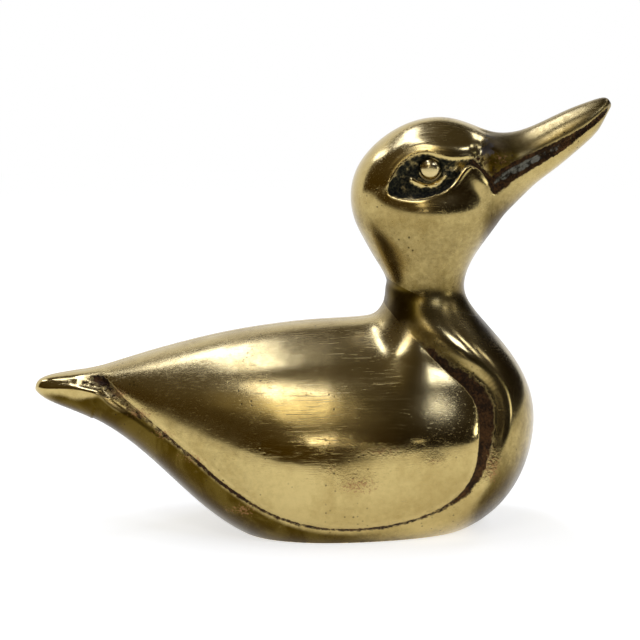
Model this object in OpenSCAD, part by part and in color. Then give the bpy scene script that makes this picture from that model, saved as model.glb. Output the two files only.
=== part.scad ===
// Cast brass duck: two hollow body halves, a solid head, an upper bill and
// two bead eyes, drawn together by a screw that is reached through the foot.
// Millimetres, bill toward +X, up is +Z, the foot rests on Z = 0.

/* [Overall] */
// Length from the tail tip to the bill tip
duck_length = 150; // [110:1:200]
// Width across the widest part of the wings
duck_width = 61.4; // [45:0.2:78]
// Height from the foot to the crown of the bill
duck_height = 112; // [84:1:140]

/* [Castings] */
// Wall of the hollow body
wall = 3.4; // [2.4:0.1:5]
// Brazed gap on each side of the middle seam
seam_gap = 0.05; // [0:0.01:0.2]
// Facets around half of the body
half_segments = 30; // [16:2:40]
// Rings of the body along one station of the outline
rings_per_station = 3; // [2:1:4]
// Facets around the head and the bill
head_segments = 40; // [24:4:48]
// Rings of the head along one station of the outline
head_rings_per_station = 2; // [2:1:3]

/* [Neck joint] */
// Diameter of the spigot under the head
spigot_d = 13; // [8:0.5:15]
// Length of that spigot
spigot_length = 6; // [3:0.5:8]
// Radial clearance of the spigot in its socket
spigot_clearance = 0.1; // [0.05:0.05:0.4]
// Metal left between the socket and the washer
shelf_thickness = 6; // [4:0.5:8]
// Rim of the inner boss around the washer
boss_rim = 2.5; // [1:0.5:4]

/* [Neck screw] */
// Diameter of the screw shank
screw_d = 5; // [3:0.5:6]
// Length of the screw under its head
screw_length = 26; // [20:1:32]
// Diameter of the screw head
screw_head_d = 9; // [7:0.5:11]
// Height of the screw head
screw_head_height = 3.2; // [2:0.2:5]
// Width of the driver slot
slot_width = 1.2; // [0.8:0.1:1.6]
// Depth of the driver slot
slot_depth = 1.4; // [0.8:0.1:1.8]
// Outer diameter of the washer
washer_d = 13; // [11:0.5:16]
// Thickness of the washer
washer_thickness = 1.2; // [0.8:0.1:2]
// Radial clearance of the screw in the shelf and the washer
screw_clearance = 0.3; // [0.1:0.05:0.5]
// Radial clearance of the screw in its tapped hole
thread_clearance = 0.05; // [0.02:0.01:0.15]

/* [Upper bill] */
// Braze gap between the bill and the head
braze_gap = 0.08; // [0.02:0.01:0.2]
// Diameter of the tenon at the root of the bill
tenon_d = 4.5; // [3:0.25:5]
// Length of that tenon
tenon_length = 8; // [4:0.5:10]
// Radial clearance of the tenon
tenon_clearance = 0.08; // [0.02:0.01:0.2]

/* [Eyes] */
// Diameter of the bead
bead_d = 5.4; // [4:0.1:6]
// Diameter of the shank behind the bead
shank_d = 2.4; // [1.6:0.1:3]
// Length of that shank
shank_length = 5; // [3:0.5:7]
// Radial clearance of the shank
shank_clearance = 0.05; // [0.02:0.01:0.15]
// Ring of air around the bead in its seat
bead_gap = 0.5; // [0.3:0.1:0.8]
// Standing height of the bead above its seat
bead_height = 1.9; // [1.2:0.1:2.4]
// Depth of the bead's flat seat below the skin at the eye
eye_seat_depth = 1.9; // [1.2:0.1:2.6]

/* [Relief] */
// Depth of the groove between the wing and the breast
groove_depth = 2.0; // [0.5:0.1:2.6]
// Depth of the crease under the wing
crease_depth = 0.9; // [0.3:0.1:1.6]
// Depth of the socket around the eye
socket_depth = 1.4; // [0.5:0.1:2]
// Depth of the groove along the mouth
mouth_depth = 0.9; // [0.3:0.1:1.4]

/* [Hidden] */
$fn = 48;

// The outline is drawn at this length, width and height
drawn_length = 150;
drawn_width = 61.4;
drawn_height = 112;

// One row is a flat ring: the point on the back (x, z), the point on the
// breast (x, z), the half width, how far the widest part lies below the
// middle, and how full the ring is at its corners
stations = [
    [-75.1,  36.0, -75.1,  35.0,  0.4,  0.00,  0.00],
    [-74.5,  38.0, -73.5,  33.5,  3.0,  0.00,  0.00],
    [-70.0,  39.5, -69.5,  31.5,  6.0,  0.00,  0.02],
    [-62.0,  40.5, -60.5,  28.5,  9.0,  0.00,  0.04],
    [-54.0,  42.5, -52.5,  24.0, 12.5,  0.03,  0.05],
    [-46.0,  45.0, -44.0,  17.5, 17.2,  0.06,  0.06],
    [-37.0,  47.5, -35.5,   9.5, 21.3,  0.09,  0.06],
    [-27.0,  50.0, -26.0,   1.5, 25.6,  0.11,  0.05],
    [-16.0,  52.0, -15.5,  -4.0, 29.0,  0.12,  0.04],
    [ -5.0,  53.5,  -4.0,  -6.5, 30.6,  0.13,  0.03],
    [  4.0,  54.0,   9.0,  -6.5, 30.8,  0.13,  0.03],
    [ 10.0,  54.5,  22.5,  -5.5, 30.2,  0.10,  0.03],
    [ 13.5,  55.0,  38.0,  -2.5, 29.2,  0.07,  0.03],
    [ 15.0,  56.0,  49.5,   6.0, 26.8,  0.05,  0.04],
    [ 16.5,  58.0,  55.5,  18.0, 23.5,  0.05,  0.04],
    [ 17.0,  60.5,  57.0,  31.0, 20.0,  0.04,  0.02],
    [ 17.0,  62.5,  53.0,  41.5, 16.4,  0.02,  0.00],
    [ 17.5,  64.0,  46.5,  49.5, 13.2, -0.01,  0.00],
    [ 17.0,  65.5,  41.0,  55.5, 11.4,  0.00,  0.00],
    [ 16.0,  67.5,  37.5,  60.5, 10.6,  0.00,  0.00],
    [ 14.0,  70.5,  37.5,  65.0, 11.2,  0.00,  0.00],
    [ 11.5,  75.0,  39.5,  70.0, 13.4,  0.01,  0.01],
    [  8.5,  80.5,  42.5,  74.5, 15.8,  0.01,  0.01],
    [  7.5,  87.5,  45.5,  78.5, 17.0,  0.00,  0.02],
    [  9.5,  95.0,  47.5,  81.5, 16.2, -0.02,  0.03],
    [ 15.5, 101.5,  49.5,  83.5, 14.7, -0.03,  0.01],
    [ 23.0, 106.0,  51.5,  85.5, 13.3, -0.03, -0.01],
    [ 32.0, 107.5,  53.5,  87.5, 11.6, -0.01, -0.01],
    [ 39.5, 105.0,  55.5,  89.5, 10.0,  0.02,  0.00],
    [ 45.0, 102.5,  58.0,  91.5,  8.3,  0.03,  0.00],
    [ 51.5, 103.0,  61.5,  94.0,  7.2,  0.03,  0.00],
    [ 58.0, 106.0,  65.5,  97.5,  6.6,  0.03,  0.00],
    [ 64.0, 109.0,  69.0, 100.5,  6.0,  0.03,  0.00],
    [ 69.5, 111.0,  72.0, 103.5,  5.0,  0.02,  0.00],
    [ 74.0, 112.5,  74.0, 107.5,  3.2,  0.00,  0.00],
    [ 75.2, 110.5,  75.2, 109.5,  0.4,  0.00,  0.00]
];
first_station = 0;
last_station = len(stations) - 1;
// The flat seat between the body and the head lies on this station
neck_station = 18;
// The skin of the upper bill starts on this station
bill_start = 25;
// The hollow of the body runs between these stations
hollow_start = 4;
hollow_end = 15.5;

// Relief lines seen from the side: x, z, half width, share of the depth
wing_groove = [
    [-62, 40.5, 2.6, 0.5], [-56, 39.0, 2.6, 0.7], [-51, 35.0, 2.4, 0.7],
    [-45, 31.0, 2.2, 0.6], [-40, 27.5, 2.0, 0.4], [-36, 24.5, 1.8, 0.3]
];
wing_crease = [
    [-36, 24.5, 2.0, 0.7], [-25, 16.0, 1.9, 1.0], [-15,  9.5, 1.8, 1.0],
    [ -6,  6.0, 1.8, 1.0], [  5,  4.5, 1.8, 1.0], [ 15,  5.0, 1.8, 1.0],
    [ 25,  7.5, 1.8, 1.0], [ 33, 11.0, 1.9, 1.0], [ 38, 15.5, 2.0, 1.0]
];
breast_groove = [
    [ 38, 15.5, 2.0, 0.4], [ 41, 20.0, 2.3, 0.7], [ 43, 26.0, 2.7, 0.9],
    [ 43.5, 32.0, 3.0, 1.0], [42.5, 37.0, 3.1, 1.0], [ 39, 41.5, 3.0, 1.0],
    [ 33, 46.5, 2.7, 0.8], [ 27, 51.0, 2.4, 0.5], [ 22, 55.5, 2.2, 0.0]
];
eye_hollow = [
    [17.5, 90.5, 1.8, 0.5], [22.5, 92.5, 4.6, 0.9], [27.5, 93.5, 5.8, 1.0],
    [32.0, 94.0, 4.8, 0.9], [36.0, 96.0, 2.4, 0.8], [40.5, 98.0, 1.8, 0.6],
    [43.0, 93.0, 1.6, 0.6], [45.0, 90.0, 1.6, 0.6]
];
mouth_line = [
    [45.0, 90.0], [49.0, 93.5], [54.0, 96.5], [59.5, 99.5], [64.0, 101.5],
    [68.5, 104.0], [72.0, 106.5], [76.0, 108.5]
];
root_line = [[40.0, 97.0], [41.5, 101.0], [44.0, 105.0]];

// The bead sits on this station, at this angle from the back
eye_station = 25;
eye_angle = 77;
// The tenon of the bill leaves its root here, seen from the side, and
// rises toward the bill at this angle
tenon_place = [46.0, 98.0];
tenon_tilt = 20;
// How far the tenon reaches into the bill
tenon_hold = 4;

function scaled(p) = [p[0] * duck_length / drawn_length, p[1] * duck_height / drawn_height];
function middle(a, b, t) = a + (b - a) * t;
function inside(v, low, high) = max(low, min(high, v));

// Smooth curve through the rows of the outline
function row(i) = stations[inside(i, 0, len(stations) - 1)];
function weights(t) = [
    pow(1 - t, 3),
    3 * pow(t, 3) - 6 * pow(t, 2) + 4,
    -3 * pow(t, 3) + 3 * pow(t, 2) + 3 * t + 1,
    pow(t, 3)
] / 6;
function station(s) =
    let (i = floor(s), w = weights(s - i))
    w[0] * row(i - 1) + w[1] * row(i) + w[2] * row(i + 1) + w[3] * row(i + 2);
function back_point(s) = let (r = station(s)) scaled([r[0], r[1]]);
function breast_point(s) = let (r = station(s)) scaled([r[2], r[3]]);
function half_width(s) = station(s)[4] * duck_width / drawn_width;

// Depth of a relief line at a point of the side view
function bell(v) = v < 1 ? (1 + cos(180 * v)) / 2 : 0;
function near(p, a, b) =
    inside(((p - a) * (b - a)) / ((b - a) * (b - a)), 0, 1);
function line_relief(p, line) = max([
    for (i = [0 : len(line) - 2])
        let (a = scaled(line[i]), b = scaled(line[i + 1]), t = near(p, a, b),
             m = middle(line[i], line[i + 1], t))
        m[3] * bell(norm(p - middle(a, b, t)) / m[2])
]);
function relief(p) = p[1] < 68 * duck_height / drawn_height
    ? max(groove_depth * line_relief(p, wing_groove),
          crease_depth * line_relief(p, wing_crease),
          groove_depth * line_relief(p, breast_groove))
    : max(socket_depth * line_relief(p, eye_hollow),
          mouth_depth * line_relief(p, [for (m = mouth_line) [m[0], m[1], 1.7, 1]]));

// One ring: angle 0 is on the back and 180 on the breast, inset moves inward
function ring_point(s, angle, inset, carved) =
    let (
        r = station(s),
        a = back_point(s),
        b = breast_point(s),
        along = (b - a) / norm(b - a),
        top = a + inset * along,
        low = b - inset * along,
        side = max(half_width(s) - inset, 0.1),
        u = (1 - cos(angle)) / 2 + r[5] * pow(sin(angle), 2),
        q = (sin(angle) + r[6] * sin(3 * angle)) / (1 - r[6]),
        p = middle(top, low, u),
        depth = carved ? relief(p) * min(1, 3 * abs(q)) : 0
    )
    [p[0], q * side - sign(q) * min(depth, 0.6 * side), p[1]];

// A closed skin between two stations, from angle_from to angle_to
module skin(from, to, rings, angle_from, angle_to, segments, inset, carved) {
    closed = angle_to - angle_from == 360;
    count = closed ? segments : segments + 1;
    points = [
        for (i = [0 : rings])
            for (j = [0 : count - 1])
                ring_point(from + (to - from) * i / rings,
                           angle_from + (angle_to - angle_from) * j / segments,
                           inset, carved)
    ];
    sides = [
        for (i = [0 : rings - 1])
            for (j = [0 : count - 1])
                let (a = i * count + j, b = i * count + (j + 1) % count)
                for (face = [[a, b, b + count], [a, b + count, a + count]])
                    face
    ];
    start_cap = [for (j = [count - 1 : -1 : 0]) j];
    end_cap = [for (j = [0 : count - 1]) rings * count + j];
    polyhedron(points, concat([start_cap], sides, [end_cap]));
}

// Frame of the neck joint: its middle, with the screw axis along Z
neck_back = back_point(neck_station);
neck_breast = breast_point(neck_station);
neck_middle = (neck_back + neck_breast) / 2;
neck_tilt = atan2(neck_back[1] - neck_breast[1], neck_breast[0] - neck_back[0]);
module at_neck() {
    translate([neck_middle[0], 0, neck_middle[1]])
        rotate([0, neck_tilt, 0])
            children();
}

// Side view of the upper bill, grown by a gap, for the cut in the head
function bill_outline(gap) = [
    for (p = concat([for (r = root_line) [r[0] - gap, r[1]]], [[60, 122], [90, 122], [90, 112]],
                    [for (i = [len(mouth_line) - 1 : -1 : 0]) [mouth_line[i][0], mouth_line[i][1] - gap]]))
        scaled(p)
];
module bill_block(gap) {
    rotate([90, 0, 0])
        linear_extrude(duck_width, center = true)
            polygon(bill_outline(gap));
}
module below_ground() {
    translate([-duck_length, -duck_width, -duck_height])
        cube([2 * duck_length, 2 * duck_width, duck_height]);
}
// The washer bears on this plane, and the tapped hole ends past the screw tip
shelf_bottom = -spigot_length - spigot_clearance - shelf_thickness;
tapped_depth = shelf_bottom - washer_thickness + screw_length + 2;

module neck_bores() {
    at_neck() {
        translate([0, 0, -spigot_length - spigot_clearance])
            cylinder(d = spigot_d + 2 * spigot_clearance, h = 2 * spigot_length);
        translate([0, 0, shelf_bottom - screw_length])
            cylinder(d = screw_d + 2 * screw_clearance, h = 2 * screw_length);
    }
}

// The hollow of the body, with the boss of the neck joint left standing in it
module hollow() {
    difference() {
        skin(hollow_start, hollow_end, hollow_rings, hollow_turn, 360 + hollow_turn,
             hollow_segments, wall, false);
        at_neck()
            translate([0, 0, shelf_bottom])
                cylinder(d = washer_d + 2 * boss_rim, h = 2 * screw_length);
    }
}

body_rings = round((neck_station - first_station) * rings_per_station);
hollow_rings = round((hollow_end - hollow_start) * 2);
hollow_segments = 28;
// Both skins are turned by half a facet, so that the middle seam never
// meets a corner of theirs
hollow_turn = 180 / hollow_segments;
half_turn = 90 / half_segments;
head_rings = round((last_station - neck_station) * head_rings_per_station);
bill_rings = round((last_station - bill_start) * head_rings_per_station);

// Everything beyond the middle seam, as seen from the half on this side
module beyond_seam(side) {
    translate([-duck_length, side == 1 ? seam_gap - duck_width : -seam_gap, -duck_height])
        cube([2 * duck_length, duck_width, 3 * duck_height]);
}

// Half of the hollow body: side is 1 for the left half and -1 for the right
module body_half(side) {
    difference() {
        mirror([0, side == 1 ? 0 : 1, 0])
            skin(first_station, neck_station, body_rings,
                 -half_turn, 180 + half_turn, half_segments + 1, 0, true);
        hollow();
        beyond_seam(side);
        below_ground();
        neck_bores();
    }
}

// Where the bead sits on the skin
eye_place = ring_point(eye_station, eye_angle, 0, false);
eye_seat = eye_place[1] - eye_seat_depth;

// Puts its children on the seat of one eye with their axis pointing outward
module at_eye(side) {
    translate([eye_place[0], side * eye_seat, eye_place[2]])
        rotate([-side * 90, 0, 0])
            children();
}

// Frame of the bill joint: at the root, with the tenon axis along Z
module at_tenon() {
    place = scaled(tenon_place);
    translate([place[0], 0, place[1]])
        rotate([0, 90 - tenon_tilt, 0])
            children();
}

module eye_bores() {
    for (side = [-1, 1])
        at_eye(side) {
            cylinder(d = bead_d + 2 * bead_gap, h = bead_height + 4);
            translate([0, 0, -shank_length - shank_clearance])
                cylinder(d = shank_d + 2 * shank_clearance, h = shank_length + 2);
        }
}

module eye(side) {
    dome_radius = (pow(bead_d / 2, 2) + pow(bead_height, 2)) / (2 * bead_height);
    at_eye(side) {
        intersection() {
            translate([0, 0, bead_height - dome_radius])
                sphere(r = dome_radius);
            cylinder(d = 2 * bead_d, h = 2 * bead_height);
        }
        translate([0, 0, -shank_length])
            cylinder(d = shank_d, h = shank_length);
    }
}

module body_left() {
    color("goldenrod") body_half(1);
}

module body_right() {
    color("goldenrod") body_half(-1);
}

module head() {
    color("darkgoldenrod") difference() {
        union() {
            skin(neck_station, last_station, head_rings, 0, 360, head_segments, 0, true);
            at_neck()
                translate([0, 0, -spigot_length])
                    cylinder(d = spigot_d, h = spigot_length + 4);
        }
        bill_block(braze_gap);
        at_tenon()
            translate([0, 0, -tenon_length - tenon_clearance])
                cylinder(d = tenon_d + 2 * tenon_clearance, h = tenon_length + tenon_hold);
        at_neck()
            translate([0, 0, -spigot_length - 1])
                cylinder(d = screw_d + 2 * thread_clearance, h = spigot_length + 1 + tapped_depth);
        eye_bores();
    }
}

module upper_bill() {
    color("peru") union() {
        intersection() {
            skin(bill_start, last_station, bill_rings, 0, 360, head_segments, 0, true);
            bill_block(0);
        }
        at_tenon()
            translate([0, 0, -tenon_length])
                cylinder(d = tenon_d, h = tenon_length + tenon_hold);
    }
}

module eye_left() {
    color("khaki") eye(1);
}

module eye_right() {
    color("khaki") eye(-1);
}

module neck_screw() {
    color("darkkhaki")
        at_neck()
            translate([0, 0, shelf_bottom - washer_thickness]) {
                cylinder(d = screw_d, h = screw_length);
                difference() {
                    translate([0, 0, -screw_head_height])
                        cylinder(d = screw_head_d, h = screw_head_height);
                    translate([-screw_head_d, -slot_width / 2, -screw_head_height - 1])
                        cube([2 * screw_head_d, slot_width, slot_depth + 1]);
                }
            }
}

module neck_washer() {
    color("silver")
        at_neck()
            translate([0, 0, shelf_bottom - washer_thickness])
                difference() {
                    cylinder(d = washer_d, h = washer_thickness);
                    translate([0, 0, -1])
                        cylinder(d = screw_d + 2 * screw_clearance, h = washer_thickness + 2);
                }
}

body_left();
body_right();
head();
upper_bill();
eye_left();
eye_right();
neck_screw();
neck_washer();
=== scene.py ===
"""Looks of a cast brass duck: castings, finishes, studio and camera.

Lengths in the pattern are millimetres, as a pattern maker writes them, and
every mesh is turned into metres when it is made. The bill points toward +X.
"""
import logging
import math
from collections.abc import Callable
from dataclasses import dataclass, field
from enum import Enum

import bpy
import numpy as np
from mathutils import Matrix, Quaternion, Vector
from mathutils.kdtree import KDTree


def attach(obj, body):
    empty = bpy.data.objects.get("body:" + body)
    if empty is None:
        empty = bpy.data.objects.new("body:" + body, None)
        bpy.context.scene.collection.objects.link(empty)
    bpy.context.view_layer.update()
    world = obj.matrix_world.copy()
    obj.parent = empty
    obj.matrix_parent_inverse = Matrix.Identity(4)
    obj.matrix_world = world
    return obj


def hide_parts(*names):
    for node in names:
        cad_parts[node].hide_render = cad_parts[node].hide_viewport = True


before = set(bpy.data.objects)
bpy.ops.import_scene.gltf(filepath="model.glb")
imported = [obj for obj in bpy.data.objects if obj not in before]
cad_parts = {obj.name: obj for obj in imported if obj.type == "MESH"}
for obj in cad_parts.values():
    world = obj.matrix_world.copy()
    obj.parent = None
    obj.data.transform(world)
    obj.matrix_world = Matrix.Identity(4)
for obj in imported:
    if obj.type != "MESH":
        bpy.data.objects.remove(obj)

LOG = logging.getLogger("duck")
MM = 0.001
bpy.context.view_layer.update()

Array = np.ndarray
Rows = tuple[tuple[float, ...], ...]
Colour = tuple[float, float, float, float]
Material = bpy.types.Material
Piece = bpy.types.Object
WHITE: Colour = (1.0, 1.0, 1.0, 1.0)


class Skin(Enum):
    """The surfaces of a casting, each with the name of its finish."""

    POLISHED = "polished brass"
    AS_CAST = "as-cast brass"
    FILED = "filed brass"
    SEAM = "sooty seam"


def ramp(value: Array, start: float | Array, end: float | Array) -> Array:
    """Ease from 0 to 1 as a value goes from a start to an end.

    Args:
        value: what is measured.
        start: where the result is 0.
        end: where the result is 1, below the start if the ramp falls.

    Returns:
        A number from 0 to 1 for each value.
    """
    t = np.clip((value - start) / (end - start), 0.0, 1.0)
    return t * t * (3.0 - 2.0 * t)


def bell(value: Array) -> Array:
    """Fall off from 1 at zero along a bell curve."""
    return np.exp(-(value**2))


def spot(x: Array, z: Array, at: tuple[float, float], reach: tuple[float, float]) -> Array:
    """Fall off from 1 round a place in the side view, along an oval bell."""
    return bell(np.hypot((x - at[0]) / reach[0], (z - at[1]) / reach[1]))


def spline(rows: Array, at: Array) -> Array:
    """Follow a uniform cubic B-spline through given rows.

    Args:
        rows: control rows, one per whole number of the parameter.
        at: parameters to evaluate, from -1 to the number of rows.

    Returns:
        One evaluated row per parameter.
    """
    index = np.floor(at).astype(int)
    t = (at - index)[:, None]
    weights = ((1 - t) ** 3, 3 * t**3 - 6 * t**2 + 4, -3 * t**3 + 3 * t**2 + 3 * t + 1, t**3)
    last = len(rows) - 1
    return sum(
        weight * rows[np.clip(index + step - 1, 0, last)] for step, weight in enumerate(weights)
    ) / 6.0


def trace(points: Rows, per_span: int = 6) -> Array:
    """Round a given line off into a dense smooth one that keeps its ends.

    Args:
        points: rows of x, z and any further values.
        per_span: steps between two rows.

    Returns:
        Rows of the same kind, close together.
    """
    rows = np.array(points, dtype=float)
    count = (len(rows) + 1) * per_span
    return spline(rows, np.linspace(-1.0, len(rows), count + 1))


@dataclass(frozen=True)
class Nearest:
    """Where points lie against a traced line in the side view.

    The side is 1 to the right of the line's direction and -1 to its left.
    """

    distance: Array
    side: Array
    values: Array

    @property
    def out(self) -> Array:
        """Return the distance with the sign of its side."""
        return self.distance * self.side


def nearest_on(line: Array, xz: Array) -> Nearest:
    """Find the nearest place on a line for many points of the side view.

    Args:
        line: rows of x, z and any further values to carry along.
        xz: points of the side view, shape (n, 2).

    Returns:
        Distance in millimetres, side and the line's further values there.
    """
    best = np.full(len(xz), 1e9)
    side = np.zeros(len(xz))
    values = np.zeros((len(xz), line.shape[1] - 2))
    for a, b in zip(line[:-1], line[1:]):
        span = b[:2] - a[:2]
        length = float(span @ span)
        if length < 1e-12:
            continue
        offset = xz - a[:2]
        t = np.clip(offset @ span / length, 0.0, 1.0)
        gap = offset - t[:, None] * span
        distance = np.hypot(gap[:, 0], gap[:, 1])
        closer = distance < best
        best[closer] = distance[closer]
        cross = span[0] * gap[:, 1] - span[1] * gap[:, 0]
        side[closer] = np.where(cross[closer] < 0, 1.0, -1.0)
        values[closer] = (a[2:] + t[:, None] * (b[2:] - a[2:]))[closer]
    return Nearest(best, side, values)


def beside(points: Rows, xz: Array) -> Nearest:
    """Find the nearest place on a given line, once it is rounded off."""
    return nearest_on(trace(points), xz)


@dataclass(frozen=True)
class Pattern:
    """The pattern that every casting follows: flat rings along a bent spine.

    Each row holds the point on the back (x, z), the point on the breast
    (x, z), the half width, how far the widest part lies below the middle,
    and how full the ring is at its corners.
    """

    rows: Rows = (
        (-75.1, 36.0, -75.1, 35.0, 0.4, 0.000, 0.000),
        (-74.5, 38.0, -73.5, 33.5, 3.0, 0.000, 0.000),
        (-70.0, 39.5, -69.5, 31.5, 6.0, 0.000, 0.020),
        (-62.0, 40.5, -60.5, 28.5, 9.0, 0.000, 0.040),
        (-54.0, 42.5, -52.5, 24.0, 12.5, 0.030, 0.050),
        (-46.0, 45.0, -44.0, 17.5, 17.2, 0.059, 0.058),
        (-37.0, 47.5, -35.5, 9.5, 21.3, 0.089, 0.056),
        (-27.0, 50.0, -26.0, 1.5, 25.6, 0.107, 0.054),
        (-16.0, 52.0, -15.5, -4.0, 29.0, 0.120, 0.043),
        (-5.0, 53.5, -4.0, -6.5, 30.6, 0.135, 0.033),
        (4.0, 54.0, 9.0, -6.5, 30.8, 0.128, 0.031),
        (10.0, 54.5, 22.5, -5.5, 30.2, 0.100, 0.028),
        (13.5, 55.0, 38.0, -2.5, 29.2, 0.074, 0.028),
        (15.0, 56.0, 49.5, 6.0, 26.8, 0.054, 0.039),
        (16.5, 58.0, 55.5, 18.0, 23.5, 0.053, 0.041),
        (17.0, 60.5, 57.0, 31.0, 20.0, 0.043, 0.015),
        (17.0, 62.5, 53.0, 41.5, 16.4, 0.021, 0.003),
        (17.5, 64.0, 46.5, 49.5, 13.2, -0.006, -0.001),
        (17.0, 65.5, 41.0, 55.5, 11.4, 0.000, 0.000),
        (16.0, 67.5, 37.5, 60.5, 10.6, 0.000, 0.000),
        (14.0, 70.5, 37.5, 65.0, 11.2, 0.003, 0.003),
        (11.5, 75.0, 39.5, 70.0, 13.4, 0.007, 0.007),
        (8.5, 80.5, 42.5, 74.5, 15.8, 0.013, 0.014),
        (7.5, 87.5, 45.5, 78.5, 17.0, -0.003, 0.024),
        (9.5, 95.0, 47.5, 81.5, 16.2, -0.016, 0.031),
        (15.5, 101.5, 49.5, 83.5, 14.7, -0.030, 0.006),
        (23.0, 106.0, 51.5, 85.5, 13.3, -0.030, -0.007),
        (32.0, 107.5, 53.5, 87.5, 11.6, -0.010, -0.008),
        (39.5, 105.0, 55.5, 89.5, 10.0, 0.020, 0.000),
        (45.0, 102.5, 58.0, 91.5, 8.3, 0.030, 0.000),
        (51.5, 103.0, 61.5, 94.0, 7.2, 0.030, 0.000),
        (58.0, 106.0, 65.5, 97.5, 6.6, 0.030, 0.000),
        (64.0, 109.0, 69.0, 100.5, 6.0, 0.030, 0.000),
        (69.5, 111.0, 72.0, 103.5, 5.0, 0.020, 0.000),
        (74.0, 112.5, 74.0, 107.5, 3.2, 0.000, 0.000),
        (75.2, 110.5, 75.2, 109.5, 0.4, 0.000, 0.000),
    )
    neck: float = 18.0
    tip_from: float = 72.0
    tip_pull: float = 0.07
    width_share: float = 0.9985
    height_share: float = 0.9999

    def rings(self, at: Array, angles: Array, inset: float = 0.0) -> Array:
        """Lay the rings of the pattern out in space.

        Args:
            at: places along the rows.
            angles: radians round each ring, 0 on the back, pi on the breast.
            inset: how far the skin moves inward.

        Returns:
            Points in millimetres, shape (places, angles, 3).
        """
        row = spline(np.array(self.rows), at)[:, None, :]
        back, breast = row[..., 0:2], row[..., 2:4]
        along = (breast - back) / np.linalg.norm(breast - back, axis=-1, keepdims=True)
        back = back + inset * along
        breast = breast - inset * along
        turn = angles[None, :]
        low, full = row[..., 5], row[..., 6]
        share = (1 - np.cos(turn)) / 2 + low * np.sin(turn) ** 2
        reach = (np.sin(turn) + full * np.sin(3 * turn)) / (1 - full)
        flat = back + share[..., None] * (breast - back)
        width = np.maximum(row[..., 4] - inset, 0.1) * reach * self.width_share
        x, z = flat[..., 0], flat[..., 1] * self.height_share
        past = np.maximum(np.abs(x) - self.tip_from, 0.0)
        return np.stack([x - np.sign(x) * past * self.tip_pull, width, z], axis=-1)

    def side_of(self, at: float, angle: float) -> tuple[float, float, float]:
        """Return the point of the skin at a place on the left side."""
        point = self.rings(np.array([at]), np.array([math.radians(angle)]))[0, 0]
        return float(point[0]), float(point[1]), float(point[2])

    def neck_frame(self) -> tuple[Array, Array]:
        """Find where the head is seated on the body.

        Returns:
            The middle of the neck seat and the direction of its screw.
        """
        row = spline(np.array(self.rows), np.array([self.neck]))[0]
        across = (row[2:4] - row[0:2]) / np.linalg.norm(row[2:4] - row[0:2])
        middle = (row[0:2] + row[2:4]) / 2
        return np.array([middle[0], 0.0, middle[1]]), np.array([-across[1], 0.0, across[0]])


def normals_of(grid: Array, closed: bool) -> Array:
    """Work out outward unit normals of a grid of rings.

    Args:
        grid: points, shape (rings, angles, 3).
        closed: True where the last angle joins the first.

    Returns:
        Unit normals of the same shape.
    """
    if closed:
        round_ring = np.roll(grid, -1, axis=1) - np.roll(grid, 1, axis=1)
    else:
        round_ring = np.gradient(grid, axis=1)
    normal = np.cross(round_ring, np.gradient(grid, axis=0))
    length = np.linalg.norm(normal, axis=-1, keepdims=True)
    return normal / np.maximum(length, 1e-9)


def pressed(grid: Array, normal: Array, depth: Array) -> Array:
    """Press a relief into a grid of rings.

    Args:
        grid: points, shape (rings, angles, 3).
        normal: unit normals of the grid, all outward or all inward.
        depth: how far each point moves inward.

    Returns:
        The moved points.
    """
    outward = np.sign((normal * (grid - grid.mean(axis=1, keepdims=True))).sum())
    return grid - outward * normal * depth[..., None]


def side_view(grid: Array) -> Array:
    """Return the x and z of every point of a grid."""
    return grid[..., (0, 2)].reshape(-1, 2)


def shaped(parts: tuple[Array, ...], grid: Array) -> list[Array]:
    """Give lists of values the shape of the grid that they belong to."""
    return [part.reshape(grid.shape[:2]) for part in parts]


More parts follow.
